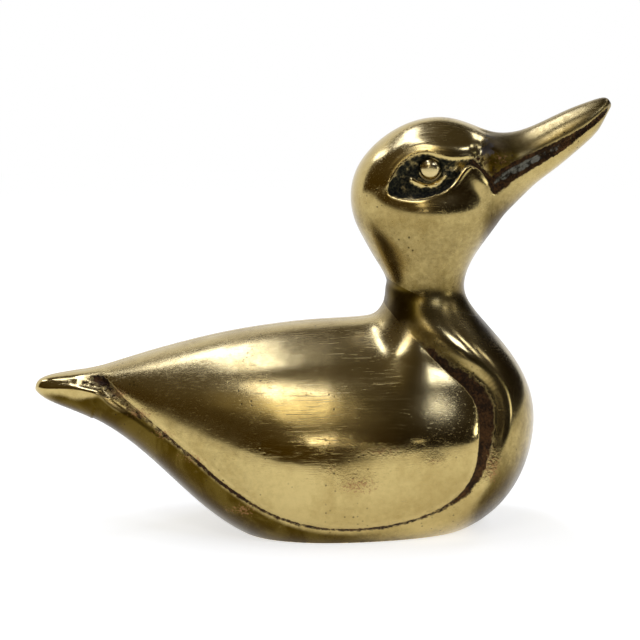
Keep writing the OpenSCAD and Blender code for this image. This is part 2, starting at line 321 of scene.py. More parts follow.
@dataclass(frozen=True)
class WingRelief:
    """The edge of the wing: tail notch, crease under the wing, breast groove.

    Each point of the edge holds x, z, the depth of the groove outside it, the
    width of its floor, the width over which it rises again, the step by which
    the body beyond stays lower than the wing, and how far the wing rolls in.
    The tail ridge holds x, z and its height.
    """

    edge: Rows = (
        (-63.5, 39.3, 0.1, 0.4, 1.2, 0.0, 0.0),
        (-60.5, 40.2, 0.8, 1.2, 1.6, 0.0, 0.0),
        (-57.5, 41.0, 1.3, 1.9, 1.8, 0.0, 0.1),
        (-55.2, 40.6, 1.6, 2.2, 1.8, 0.1, 0.2),
        (-53.2, 38.2, 1.6, 2.2, 1.8, 0.3, 0.3),
        (-50.8, 35.9, 1.3, 1.7, 1.8, 0.4, 0.3),
        (-47.5, 33.6, 1.0, 1.1, 1.7, 0.4, 0.3),
        (-43.8, 30.9, 0.8, 0.7, 1.7, 0.4, 0.3),
        (-40.0, 28.0, 0.6, 0.5, 1.6, 0.4, 0.3),
        (-35.5, 24.8, 0.45, 0.3, 1.4, 0.4, 0.3),
        (-30.0, 20.6, 0.45, 0.2, 1.2, 0.4, 0.3),
        (-25.5, 16.6, 0.5, 0.2, 1.1, 0.4, 0.4),
        (-20.0, 13.0, 0.55, 0.2, 1.1, 0.4, 0.4),
        (-15.0, 9.8, 0.55, 0.2, 1.1, 0.4, 0.5),
        (-8.0, 6.8, 0.55, 0.2, 1.1, 0.4, 0.5),
        (0.0, 4.9, 0.55, 0.2, 1.1, 0.4, 0.5),
        (8.0, 4.4, 0.55, 0.2, 1.1, 0.4, 0.5),
        (15.0, 4.8, 0.55, 0.2, 1.1, 0.4, 0.5),
        (20.5, 5.8, 0.55, 0.3, 1.1, 0.4, 0.5),
        (26.0, 7.3, 0.6, 0.4, 1.2, 0.4, 0.5),
        (31.0, 9.4, 0.7, 0.5, 1.4, 0.4, 0.6),
        (35.0, 12.0, 0.8, 0.7, 1.6, 0.3, 0.8),
        (38.5, 15.5, 1.0, 1.1, 2.8, 0.2, 1.0),
        (40.5, 20.5, 1.3, 1.8, 3.6, 0.1, 1.2),
        (41.0, 26.5, 1.7, 2.5, 4.2, 0.0, 1.3),
        (41.3, 32.0, 1.9, 3.0, 4.4, 0.0, 1.4),
        (40.4, 36.5, 1.9, 3.2, 4.6, 0.0, 1.4),
        (37.4, 40.3, 1.6, 2.0, 4.8, 0.0, 1.1),
        (34.0, 43.2, 1.2, 1.1, 4.8, 0.0, 0.9),
        (30.6, 46.2, 0.8, 0.5, 4.6, 0.0, 0.7),
        (27.8, 48.8, 0.45, 0.2, 4.2, 0.0, 0.5),
        (25.0, 51.4, 0.15, 0.0, 3.6, 0.0, 0.3),
        (21.5, 54.5, 0.0, 0.0, 1.5, 0.0, 0.0),
    )
    tail_ridge: Rows = (
        (-73.5, 36.1, 0.1), (-70.0, 36.6, 0.35), (-66.0, 37.0, 0.5), (-62.5, 36.9, 0.55),
        (-58.5, 36.3, 0.55),
        (-55.0, 35.5, 0.5), (-52.0, 34.4, 0.45), (-48.5, 32.2, 0.3), (-44.0, 29.2, 0.1),
    )
    drop: float = 0.9
    lip: float = 0.25
    shoulder: float = 1.4
    limit: float = 1.4
    limit_room: float = 1.1
    roll_norm: int = 8

    def fields(self, xz: Array) -> tuple[Array, Array, Array]:
        """Work out the relief of the wing and of the groove beside it.

        Args:
            xz: points of the side view, shape (n, 2).

        Returns:
            Depth into the body, darkness of the groove and rubbed rim.
        """
        x, z = xz.T
        near = beside(self.edge, xz)
        out = near.out
        deep, floor, rise, step, _ = near.values.T
        past = out - self.drop - floor
        climb = np.maximum(rise, 0.5)
        wall = ramp(out, 0.0, self.drop)
        far = ramp(past, 0.0, climb)
        depth = wall * (deep * (1 - far) + step * far * ramp(out, 20.0, 6.0))
        strength = np.clip(deep / 0.5, 0.0, 1.0)
        depth += self.lip * strength * np.exp(np.minimum(out, 0.0) / 0.8) * (1 - wall)
        depth += self.rolled(xz) * (1 - wall * ramp(past, 0.0, climb + 4.0))
        hollow = ramp(x, 2.0, 27.0) * ramp(z, 26.0, 40.0) * ramp(z, 58.0, 48.0)
        depth += self.shoulder * hollow * ramp(out, 9.0, 0.0)
        over = np.maximum(depth - self.limit, 0.0)
        depth = np.minimum(depth, self.limit) + self.limit_room * np.tanh(over / self.limit_room)
        ridge = beside(self.tail_ridge, xz)
        depth -= ridge.values[:, 0] * bell(ridge.distance / 0.9)
        dark = ramp(out, -0.1, 0.4) * (1 - ramp(past + 0.4 * self.drop, 0.0, 0.5 * rise + 0.5))
        worn = 1 - 0.5 * ramp(x, -26.0, -42.0) - 0.25 * ramp(z, 14.0, 9.0)
        notch = spot(x, z, (-56.8, 40.0), (4.0, 2.2))
        rim = bell((out + 0.7) / 0.6)
        return depth, dark * np.maximum(worn, notch) * strength, rim * strength

    def rolled(self, xz: Array) -> Array:
        """Bend the wing in toward its edge, without a crease.

        Args:
            xz: points of the side view, shape (n, 2).

        Returns:
            How far each point lies inside the plain pattern.
        """
        total = np.zeros(len(xz))
        for x, z, *_, roll in trace(self.edge, 4):
            if roll > 0.02:
                share = np.hypot(xz[:, 0] - x, xz[:, 1] - z) / (2.0 + 3.2 * roll)
                total += (roll * np.exp(-share)) ** self.roll_norm
        return 0.85 * total ** (1 / self.roll_norm)


@dataclass(frozen=True)
class EyeRelief:
    """The almond socket, the lower lid in it, the trench round the bead.

    The brow holds x, z and its height; the other lines hold x and z alone.
    """

    outline: Rows = (
        (16.3, 89.4), (18.2, 93.6), (21.2, 97.0), (24.8, 98.8), (28.4, 98.9), (31.8, 97.7),
        (35.2, 97.4), (39.0, 98.0), (39.6, 96.8), (37.4, 95.4), (35.9, 93.9), (34.8, 91.9),
        (32.6, 89.6), (28.6, 88.1), (24.6, 87.1), (20.4, 87.2), (17.4, 88.0),
    )
    lid: Rows = ((23.0, 92.6), (25.0, 91.4), (27.8, 90.8), (30.2, 91.5), (31.8, 93.4))
    brow: Rows = (
        (13.5, 90.0, 0.1), (15.3, 94.3, 0.45), (19.4, 98.7, 0.8), (24.8, 100.9, 0.95), (30.0, 100.8, 0.85),
        (34.5, 99.7, 0.65), (38.5, 100.4, 0.5), (41.5, 101.5, 0.1),
    )
    cheek: tuple[float, float] = (31.5, 83.4)
    bead_at: tuple[float, float] = (27.6, 94.7)
    depth: float = 1.7
    wall: float = 2.0

    def fields(self, xz: Array) -> tuple[Array, Array, Array]:
        """Work out the relief round the eye.

        Args:
            xz: points of the side view, shape (n, 2).

        Returns:
            Depth into the head, darkness of the socket and bright rim.
        """
        x, z = xz.T
        ring = self.outline[-2:] + self.outline + self.outline[:2]
        inward = nearest_on(trace(ring, 4)[8:-8], xz).out
        floor = ramp(inward, 0.0, self.wall)
        brow = beside(self.brow, xz)
        swell = brow.values[:, 0] * bell(brow.distance / 2.3)
        swell += 0.95 * spot(x, z, self.cheek, (10.0, 4.8))
        below = ramp(z, 92.0, 88.0) * ramp(x, 35.0, 30.0)
        swell -= 0.45 * below * np.exp(np.minimum(inward, 0.0) / 1.5)
        crest = bell((inward + 0.35) / 0.4)
        lid = beside(self.lid, xz).distance
        reach = np.hypot(x - self.bead_at[0], z - self.bead_at[1])
        depth = self.depth * floor - swell * (1 - floor) - 0.13 * crest
        depth += 0.5 * bell((reach - 2.9) / 0.45) - 0.75 * bell(lid / 0.62) * floor
        dark = ramp(inward, -0.1, 0.6) * (1 - 0.9 * bell(lid / 0.45))
        return depth, dark, crest


@dataclass(frozen=True)
class MouthRelief:
    """The groove along the mouth, and the one where the bill meets the head.

    Mouth and root hold x, z, half width and depth; the band of stain holds
    x, z and half width; the valley x, z, width and depth; grime x, z, reach
    and strength; the patch of braze x, z, width and height.
    """

    mouth: Rows = (
        (44.9, 89.4, 1.2, 0.7), (46.5, 91.0, 1.7, 0.9), (48.8, 93.1, 1.7, 0.9), (51.0, 94.4, 1.5, 0.85),
        (54.0, 96.2, 1.4, 0.8), (58.0, 98.4, 1.2, 0.8), (62.0, 100.6, 1.0, 0.75), (65.7, 102.6, 0.8, 0.65),
        (69.5, 105.2, 0.65, 0.55), (72.2, 107.6, 0.6, 0.45), (75.5, 110.0, 0.5, 0.3),
    )
    band: Rows = (
        (44.4, 90.9, 1.5), (46.2, 92.2, 2.2), (49.6, 94.0, 2.35), (53.7, 96.0, 2.0), (57.5, 98.0, 1.8),
        (61.4, 99.9, 1.55), (64.5, 102.0, 1.2), (66.8, 103.5, 0.95), (69.5, 105.3, 0.65),
        (72.2, 107.6, 0.45),
        (75.5, 110.0, 0.35),
    )
    root: Rows = (
        (37.4, 97.4, 0.7, 0.2), (39.0, 96.6, 0.6, 0.5), (41.0, 95.0, 0.5, 0.5), (43.0, 92.4, 0.5, 0.5),
        (44.6, 90.2, 0.8, 0.6), (45.2, 89.0, 0.9, 0.2),
    )
    valley: Rows = (
        (45.0, 105.5, 2.6, 0.0), (42.2, 103.0, 2.4, 0.35), (40.6, 99.8, 2.1, 0.75), (40.6, 96.6, 1.9, 0.85),
        (42.4, 93.6, 1.6, 0.75), (45.0, 90.4, 1.5, 0.6), (47.0, 88.6, 1.5, 0.0),
    )
    grime: Rows = (
        (38.6, 96.6, 1.5, 1.0), (40.4, 97.4, 1.1, 0.8),
        (42.6, 96.2, 1.8, 0.5), (44.6, 94.4, 1.8, 0.55), (46.5, 96.2, 2.6, 0.42), (44.6, 98.0, 2.4, 0.36),
        (43.2, 93.6, 1.7, 0.6), (49.0, 97.2, 2.4, 0.34),
    )
    patch: tuple[float, ...] = (42.5, 101.0, 2.5, 2.7)

    def fields(self, xz: Array) -> tuple[Array, Array, Array]:
        """Work out the relief along the bill.

        Args:
            xz: points of the side view, shape (n, 2).

        Returns:
            Depth into the head, darkness of the grooves and bright rim.
        """
        x, z = xz.T
        valley = beside(self.valley, xz)
        wide, low = valley.values.T
        depth = low * bell(valley.distance / np.maximum(wide, 0.5))
        dark = np.zeros(len(xz))
        rim = np.zeros(len(xz))
        for at_x, at_z, reach, strength in self.grime:
            dark = np.maximum(dark, strength * spot(x, z, (at_x, at_z), (reach, reach)))
        for line in (self.mouth, self.root):
            near = beside(line, xz)
            width, deep = near.values.T
            out = near.distance / np.maximum(width, 0.2)
            depth = np.maximum(depth, 0.5 * depth + deep * bell(out))
            dark = np.maximum(dark, ramp(out, 1.6, 0.7) * ramp(deep, 0.0, 0.5))
            rim = np.maximum(rim, 0.3 * bell((out - 1.5) / 0.4))
        stain = beside(self.band, xz)
        dark = np.maximum(dark, ramp(stain.distance - stain.values[:, 0], 0.45, -0.45))
        return depth, dark, rim * (1 - dark)

    def silver(self, xz: Array) -> Array:
        """Return how much of the grey filler shows in the middle of the mouth.

        Args:
            xz: points of the side view, shape (n, 2).

        Returns:
            A mask from 0 to 1.
        """
        stain = beside(self.band, xz)
        inner = ramp(stain.distance / np.maximum(stain.values[:, 0], 0.3), 0.7, 0.3)
        return inner * ramp(xz[:, 0], 43.5, 45.5) * ramp(xz[:, 0], 66.0, 57.0)

    def solder(self, xz: Array) -> Array:
        """Return how much of the grey braze shows on top of the root.

        Args:
            xz: points of the side view, shape (n, 2).

        Returns:
            A mask from 0 to 1.
        """
        x, z, wide, tall = self.patch
        return np.exp(-np.hypot((xz[:, 0] - x) / wide, (xz[:, 1] - z) / tall) ** 3)


@dataclass(frozen=True)
class Surface:
    """A grid of points with the masks that its finish reads."""

    points: Array
    masks: dict[str, Array]


def new_object(name: str, data: bpy.types.ID) -> Piece:
    """Link a mesh, a lamp or a camera into the scene as an object at the origin.

    Args:
        name: name of the object.
        data: its mesh, lamp or camera.

    Returns:
        The new object.
    """
    made = bpy.data.objects.new(name, data)
    bpy.context.scene.collection.objects.link(made)
    return made


def face_outward(mesh: bpy.types.Mesh) -> None:
    """Turn a closed solid inside out where its faces point inward.

    Args:
        mesh: the closed solid.
    """
    mesh.calc_loop_triangles()
    points = np.empty(len(mesh.vertices) * 3)
    mesh.vertices.foreach_get("co", points)
    points = points.reshape(-1, 3)
    corners = np.empty(len(mesh.loop_triangles) * 3, dtype=np.int32)
    mesh.loop_triangles.foreach_get("vertices", corners)
    a, b, c = (points[corners.reshape(-1, 3)[:, k]] for k in range(3))
    if float(np.einsum("ij,ij->i", a, np.cross(b, c)).sum()) < 0.0:
        mesh.flip_normals()


def solid(
    name: str, points: Array | list, faces: list[tuple[int, ...]], material: Material
) -> Piece:
    """Make a closed solid of one material.

    Args:
        name: name of the object and of its mesh.
        points: corners in millimetres.
        faces: corner numbers of each face, all outward or all inward.
        material: material of the faces.

    Returns:
        The new object, in metres, with its faces outward.
    """
    mesh = bpy.data.meshes.new(name)
    mesh.from_pydata((np.array(points) * MM).tolist(), [], faces)
    mesh.materials.append(material)
    mesh.validate()
    face_outward(mesh)
    return new_object(name, mesh)


def skin_mesh(name: str, surface: Surface, material: Material) -> Piece:
    """Turn a grid of rings into a closed solid with the masks as attributes.

    Args:
        name: name of the object.
        surface: rings in millimetres; open rings get a flat face across.
        material: material of the whole solid.

    Returns:
        The new object, in metres.
    """
    rings, count, _ = surface.points.shape
    index = np.arange(rings * count).reshape(rings, count)
    after = np.roll(index, -1, axis=1)
    quads = np.stack([index[:-1], after[:-1], after[1:], index[1:]], axis=-1).reshape(-1, 4)
    ends = [tuple(index[0][::-1].tolist()), tuple(index[-1].tolist())]
    faces = [tuple(quad) for quad in quads.tolist()] + ends
    made = solid(name, surface.points.reshape(-1, 3), faces, material)
    for label, mask in surface.masks.items():
        layer = made.data.attributes.new(label, "FLOAT", "POINT")
        layer.data.foreach_set("value", mask.reshape(-1).astype(np.float32))
    return made


def carve(piece: Piece, cutters: list[Piece], operation: str = "DIFFERENCE") -> None:
    """Cut, join or intersect a solid with others and drop the others.

    Args:
        piece: the solid that changes.
        cutters: closed solids, which are removed afterwards.
        operation: DIFFERENCE, UNION or INTERSECT.
    """
    for cutter in cutters:
        step = piece.modifiers.new(cutter.name, "BOOLEAN")
        step.object = cutter
        step.operation = operation
        step.solver = "MANIFOLD"
        step.material_mode = "TRANSFER"
    bake(piece)
    for cutter in cutters:
        bpy.data.objects.remove(cutter)


def bake(piece: Piece) -> None:
    """Replace a piece's mesh by what its modifiers make and remove them.

    Args:
        piece: the piece that changes.
    """
    graph = bpy.context.evaluated_depsgraph_get()
    result = bpy.data.meshes.new_from_object(piece.evaluated_get(graph), depsgraph=graph)
    piece.modifiers.clear()
    piece.data = result


def refill(piece: Piece, surface: Surface) -> None:
    """Give every corner that a cut has added the masks of the nearest old one.

    Args:
        piece: the solid after its cuts.
        surface: the grid that it was made from.
    """
    old = surface.points.reshape(-1, 3) * MM
    tree = KDTree(len(old))
    for index, point in enumerate(old.tolist()):
        tree.insert(point, index)
    tree.balance()
    nearest = [tree.find(corner.co)[1] for corner in piece.data.vertices]
    for label, mask in surface.masks.items():
        values = mask.reshape(-1)[nearest].astype(np.float32)
        piece.data.attributes[label].data.foreach_set("value", values)


def register(piece: Piece, node: str, sharp_from: float = 40.0) -> Piece:
    """Shade a finished piece and put it in the place of its CAD node.

    Args:
        piece: the finished piece.
        node: the CAD node that it stands for.
        sharp_from: degrees from which an edge stays sharp.

    Returns:
        The same piece.
    """
    piece.data.polygons.foreach_set("use_smooth", [True] * len(piece.data.polygons))
    piece.data.set_sharp_from_angle(angle=math.radians(sharp_from))
    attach(piece, "root")
    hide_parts(node)
    return piece


def prism(name: str, outline: Array, half: float, material: Material) -> Piece:
    """Make a closed prism from an outline in the side view.

    Args:
        name: name of the object.
        outline: x, z corners in millimetres.
        half: how far it reaches to either side.
        material: material of its faces.

    Returns:
        The new object, in metres.
    """
    count = len(outline)
    points = [(x, side * half, z) for side in (-1, 1) for x, z in outline.tolist()]
    faces = [tuple(range(count)), tuple(range(2 * count - 1, count - 1, -1))]
    faces += [((k + 1) % count, k, count + k, count + (k + 1) % count) for k in range(count)]
    return solid(name, points, faces, material)


def turned(name: str, start: Array, axis: Array, profile: Rows, material: Material) -> Piece:
    """Turn a closed solid round an axis, for bores and plain shanks.

    Args:
        name: name of the object.
        start: foot of the axis in millimetres.
        axis: direction of the axis.
        profile: height and radius pairs from the foot up.
        material: material of its faces.

    Returns:
        The new object, in metres.
    """
    axis = axis / np.linalg.norm(axis)
    helper = np.array([0.0, 1.0, 0.0]) if abs(axis[1]) < 0.9 else np.array([1.0, 0.0, 0.0])
    across = np.cross(axis, helper)
    across /= np.linalg.norm(across)
    turns = np.linspace(0, 2 * math.pi, 49)[:-1, None]
    spokes = np.cos(turns) * across + np.sin(turns) * np.cross(axis, across)
    rings = [start + height * axis + radius * spokes for height, radius in profile]
    return skin_mesh(name, Surface(np.array(rings), {}), material)


def spaced(table: Rows) -> Array:
    """Spread places along the rows with a chosen number for each span.

    Args:
        table: place along the rows and how many rings lie in the span up to
            the next place.

    Returns:
        Increasing places, one per ring.
    """
    spans = zip(table[:-1], table[1:])
    parts = [np.linspace(a[0], b[0], int(a[1]), endpoint=False) for a, b in spans]
    return np.concatenate(parts + [np.array([table[-1][0]])])


class Value:
    """An output socket that can be calculated with like a number."""

    def __init__(self, graph: "Graph", socket: bpy.types.NodeSocket) -> None:
        """Keep a socket together with its graph."""
        self.graph = graph
        self.socket = socket

    def __add__(self, other: "Value | float") -> "Value":
        """Add a value or a number."""
        return self.graph.math("ADD", self, other)

    def __sub__(self, other: "Value | float") -> "Value":
        """Take a value or a number away."""
        return self.graph.math("SUBTRACT", self, other)

    def __mul__(self, other: "Value | float") -> "Value":
        """Multiply by a value or a number."""
        return self.graph.math("MULTIPLY", self, other)

    def __truediv__(self, other: "Value | float") -> "Value":
        """Divide by a value or a number."""
        return self.graph.math("DIVIDE", self, other)


Entry = Value | float | tuple[float, ...] | Material


class Graph:
    """Adds nodes to one node tree and joins their sockets."""

    def __init__(self, tree: bpy.types.NodeTree) -> None:
        """Start on a tree with nothing in it."""
        self.tree = tree
        tree.nodes.clear()

    def add(self, kind: str, inputs: dict[int | str, Entry], **settings: object) -> bpy.types.Node:
        """Add a node.

        Args:
            kind: Blender's name of the node type.
            inputs: numbers or values by the input's name or number.
            settings: properties of the node itself.

        Returns:
            The new node.
        """
        node = self.tree.nodes.new(kind)
        for key, value in settings.items():
            setattr(node, key, value)
        for key, value in inputs.items():
            if isinstance(value, Value):
                self.tree.links.new(value.socket, node.inputs[key])
            else:
                node.inputs[key].default_value = value
        return node

    def get(
        self, kind: str, inputs: dict[int | str, Entry], output: int | str = 0, **settings: object
    ) -> Value:
        """Add a node and return one of its outputs."""
        return Value(self, self.add(kind, inputs, **settings).outputs[output])

    def math(self, operation: str, *values: Entry, clamp: bool = False) -> Value:
        """Add a Math node and return its result."""
        inputs = dict(enumerate(values))
        return self.get("ShaderNodeMath", inputs, operation=operation, use_clamp=clamp)

    def total(self, start: Value | float, *parts: tuple[Value, float]) -> Value:
        """Add values up, each times its weight.

        Args:
            start: what the sum starts from.
            parts: values with their weights.

        Returns:
            The sum.
        """
        for value, weight in parts:
            start = self.math("MULTIPLY_ADD", value, weight, start)
        return start

    def most(self, first: Value, *others: Value) -> Value:
        """Return the greatest of some values.

        Args:
            first: one of the values.
            others: the rest of them.

        Returns:
            The greatest value at each place.
        """
        for other in others:
            first = self.math("MAXIMUM", first, other)
        return first

    def blend(self, factor: Value, low: Entry, high: Entry) -> Value:
        """Mix two colours."""
        return self.get("ShaderNodeMix", {0: factor, 6: low, 7: high}, 2, data_type="RGBA")

    def choose(self, factor: Value, low: Value, high: Value) -> Value:
        """Mix two numbers."""
        return self.get("ShaderNodeMix", {0: factor, 2: low, 3: high}, data_type="FLOAT")

    def band(self, value: Value, *ends: float) -> Value:
        """Map a range smoothly onto another, which is 0 to 1 unless it is given."""
        inputs = dict(enumerate((value, *ends)))
        return self.get("ShaderNodeMapRange", inputs, interpolation_type="SMOOTHSTEP")

    def noise(
        self, place: Value, scale: Entry, detail: float = 4.0, rough: float = 0.55, warp: float = 0.0
    ) -> Value:
        """Add a noise texture.

        Args:
            place: the coordinates.
            scale: how fine the noise is.
            detail: how many finer layers it has.
            rough: how strong the finer layers are.
            warp: how much it is distorted.

        Returns:
            Its value from 0 to 1.
        """
        shape = {"Scale": scale, "Detail": detail, "Roughness": rough, "Distortion": warp}
        return self.get("ShaderNodeTexNoise", {"Vector": place} | shape)

    def group(self, tree: bpy.types.NodeTree, **inputs: Entry) -> dict[str, Value]:
        """Add a node group and return its outputs by name."""
        node = self.add("ShaderNodeGroup", inputs, node_tree=tree)
        return {socket.name: Value(self, socket) for socket in node.outputs}

    def place(self) -> Value:
        """Return the object coordinates."""
        return self.get("ShaderNodeTexCoord", {}, "Object")

    def mask(self, name: str) -> Value:
        """Read one of the casting's attributes."""
        return self.get("ShaderNodeAttribute", {}, "Fac", attribute_name=name, attribute_type="GEOMETRY")

    def rays(self, *kinds: str) -> Value:
        """Return 1 for some kinds of rays and 0 for the others.

        Args:
            kinds: names as the Light Path node has them.

        Returns:
            The sum of their outputs, at most 1.
        """
        path = self.add("ShaderNodeLightPath", {})
        seen = Value(self, path.outputs[f"Is {kinds[0]} Ray"])
        for kind in kinds[1:]:
            seen = self.math("ADD", seen, Value(self, path.outputs[f"Is {kind} Ray"]), clamp=True)
        return seen

    def finish_metal(self, inputs: dict[str, Entry], height: Value, relief: float, strength: float) -> None:
        """End a material in a metal with a bump.

        Args:
            inputs: the shader's colour, metallic share and roughness.
            height: height of the bump.
            relief: metres for a height of 1.
            strength: how strongly the bump tilts the surface.
        """
        bump = self.get("ShaderNodeBump", {"Height": height, "Distance": relief, "Strength": strength})
        shader = self.get("ShaderNodeBsdfPrincipled", inputs | {"Normal": bump})
        self.add("ShaderNodeOutputMaterial", {"Surface": shader})


def start_material(name: str) -> tuple[Material, Graph]:
    """Make a material and the graph that fills it.

    Args:
        name: name of the material.

    Returns:
        The material and its empty graph.
    """
    material = bpy.data.materials.new(name)
    material.use_nodes = True
    return material, Graph(material.node_tree)


class Group(Graph):
    """A node group, built like any other graph."""

    def __init__(self, name: str, kind: str, inputs: dict[str, float | None]) -> None:
        """Start the group.

        Args:
            name: name of the group.
            kind: Blender's name of the tree type.
            inputs: default of each number, and None for a vector.
        """
        tree = bpy.data.node_groups.new(name, kind)
        self.keys: dict[str, str] = {}
        for label, value in inputs.items():
            socket_type = "NodeSocketVector" if value is None else "NodeSocketFloat"
            socket = tree.interface.new_socket(label, in_out="INPUT", socket_type=socket_type)
            if value is not None:
                socket.default_value = value
            self.keys[label] = socket.identifier
        super().__init__(tree)
        self.given = self.add("NodeGroupInput", {})

    def take(self, label: str) -> Value:
        """Return one of the group's inputs."""
        return Value(self, self.given.outputs[label])

    def finish(self, results: dict[str, Value], socket_type: str = "NodeSocketFloat") -> bpy.types.NodeTree:
        """Give the group its outputs.

        Args:
            results: the value of each output.
            socket_type: the kind of all of them.

        Returns:
            The finished tree.
        """
        for label in results:
            self.tree.interface.new_socket(label, in_out="OUTPUT", socket_type=socket_type)
        self.add("NodeGroupOutput", results)
        return self.tree


@dataclass(frozen=True)
class Wear:
    """Shader groups that every metal of the duck shares."""

    scratches: bpy.types.NodeTree
    clouds: bpy.types.NodeTree
    pits: bpy.types.NodeTree

    @staticmethod
    def build() -> "Wear":
        """Build each group once."""
        return Wear(Wear.make_scratches(), Wear.make_clouds(), Wear.make_pits())

    @staticmethod
    def drawn_out(
        graph: Graph, place: Value, turn: float, tilt: tuple[float, float], stretch: float
    ) -> Value:
        """Turn space and stretch it, so that noise in it becomes lines.

        Args:
            graph: the graph to add to.
            place: the coordinates.
            turn: degrees about Y.
            tilt: radians about X and about Z.
            stretch: how much longer than wide the lines are.

        Returns:
            The new coordinates.
        """
        rotation = (tilt[0], math.radians(turn), tilt[1])
        inputs = {"Vector": place, "Rotation": rotation, "Scale": (1.0, stretch, stretch)}
        return graph.get("ShaderNodeMapping", inputs)

    @staticmethod
    def make_scratches() -> bpy.types.NodeTree:
        """Make fine polishing lines that run in several directions.

        Returns:
            A group with single lines, brushed areas and a fine haze.
        """
        group = Group("polishing lines", "ShaderNodeTree", {"Vector": None, "Density": 0.5})
        given = group.take("Vector")
        warp = group.get("ShaderNodeTexNoise", {"Vector": given, "Scale": 35.0, "Detail": 2.0}, "Color")
        bent = group.get("ShaderNodeVectorMath", {0: warp, 1: (0.004, 0.004, 0.004)}, operation="MULTIPLY")
        place = group.get("ShaderNodeVectorMath", {0: given, 1: bent}, operation="ADD")
        lines = []
        runs = ((8, 46.0, 50.0), (-34, 30.0, 80.0), (64, 34.0, 70.0), (-80, 26.0, 90.0))
        for turn, stretch, scale in runs:
            spun = Wear.drawn_out(group, place, turn, (0.35, 0.2), stretch)
            line = group.band(group.noise(spun, scale, 3.0, 0.65), 0.56, 0.74)
            patch = group.noise(place, 55.0 + turn * 0.1, 2.0)
            lines.append(line * group.band(patch, 0.40, 0.62))
        sweep = []
        for turn, stretch in ((6, 44.0), (-28, 36.0), (52, 38.0)):
            spun = Wear.drawn_out(group, place, turn, (0.2, -0.1), stretch)
            sweep.append(group.noise(spun, 75.0, 4.0, 0.75))
        choice = group.band(group.noise(place, 38.0, 2.0), 0.42, 0.58)
        other = group.band(group.noise(place, 27.0, 2.0), 0.45, 0.55)
        brushed = group.choose(other, group.choose(choice, sweep[0], sweep[1]), sweep[2])
        drawn = group.math("MULTIPLY", group.most(*lines), group.take("Density"), clamp=True)
        haze = group.noise(place, 700.0, 4.0, 0.7)
        return group.finish({"Lines": drawn, "Brushed": brushed, "Haze": haze})

    @staticmethod
    def make_clouds() -> bpy.types.NodeTree:
        """Make tarnish that lies in soft clouds with fine mottling.

        Returns:
            A group with the clouds and the mottling.
        """
        group = Group("tarnish clouds", "ShaderNodeTree", {"Vector": None, "Scale": 60.0})
        place = group.take("Vector")
        wide = group.noise(place, group.take("Scale"), 5.0, 0.6, 0.6)
        fine = group.noise(place, 520.0, 5.0, 0.7)
        cloud = group.band(wide + fine * 0.18, 0.52, 0.78)
        return group.finish({"Cloud": cloud, "Mottle": group.band(fine, 0.38, 0.68)})

    @staticmethod
    def make_pits() -> bpy.types.NodeTree:
        """Make small casting pits, scattered in patches.

        Returns:
            A group with the pits.
        """
        group = Group("casting pits", "ShaderNodeTree", {"Vector": None, "Size": 900.0, "Amount": 0.5})
        place = group.take("Vector")
        inputs = {"Vector": place, "Scale": group.take("Size"), "Randomness": 1.0}
        cells = group.add("ShaderNodeTexVoronoi", inputs)
        dots = group.band(Value(group, cells.outputs["Distance"]), 0.12, 0.30, 1.0, 0.0)
        pick = group.get("ShaderNodeSeparateColor", {0: Value(group, cells.outputs["Color"])})
        some = group.math("GREATER_THAN", group.take("Amount"), pick)
        patch = group.band(group.noise(place, 85.0, 3.0), 0.50, 0.66)
        return group.finish({"Pits": dots * some * patch})


@dataclass(frozen=True)
class Marks:
    """What polishing, wear, dirt and tarnish have left at a place of the brass, with the shade that is
    painted in along with the tarnish.
    """

    lines: dict[str, Value]
    clouds: dict[str, Value]
    pits: Value
    grit: Value
    grain: Value
    blot: Value
    crusted: Value
    sooty: Value
    dirty: Value
    tinned: Value
    mottled_tarnish_and_shade: Value
    satin: Value
    strokes: Value


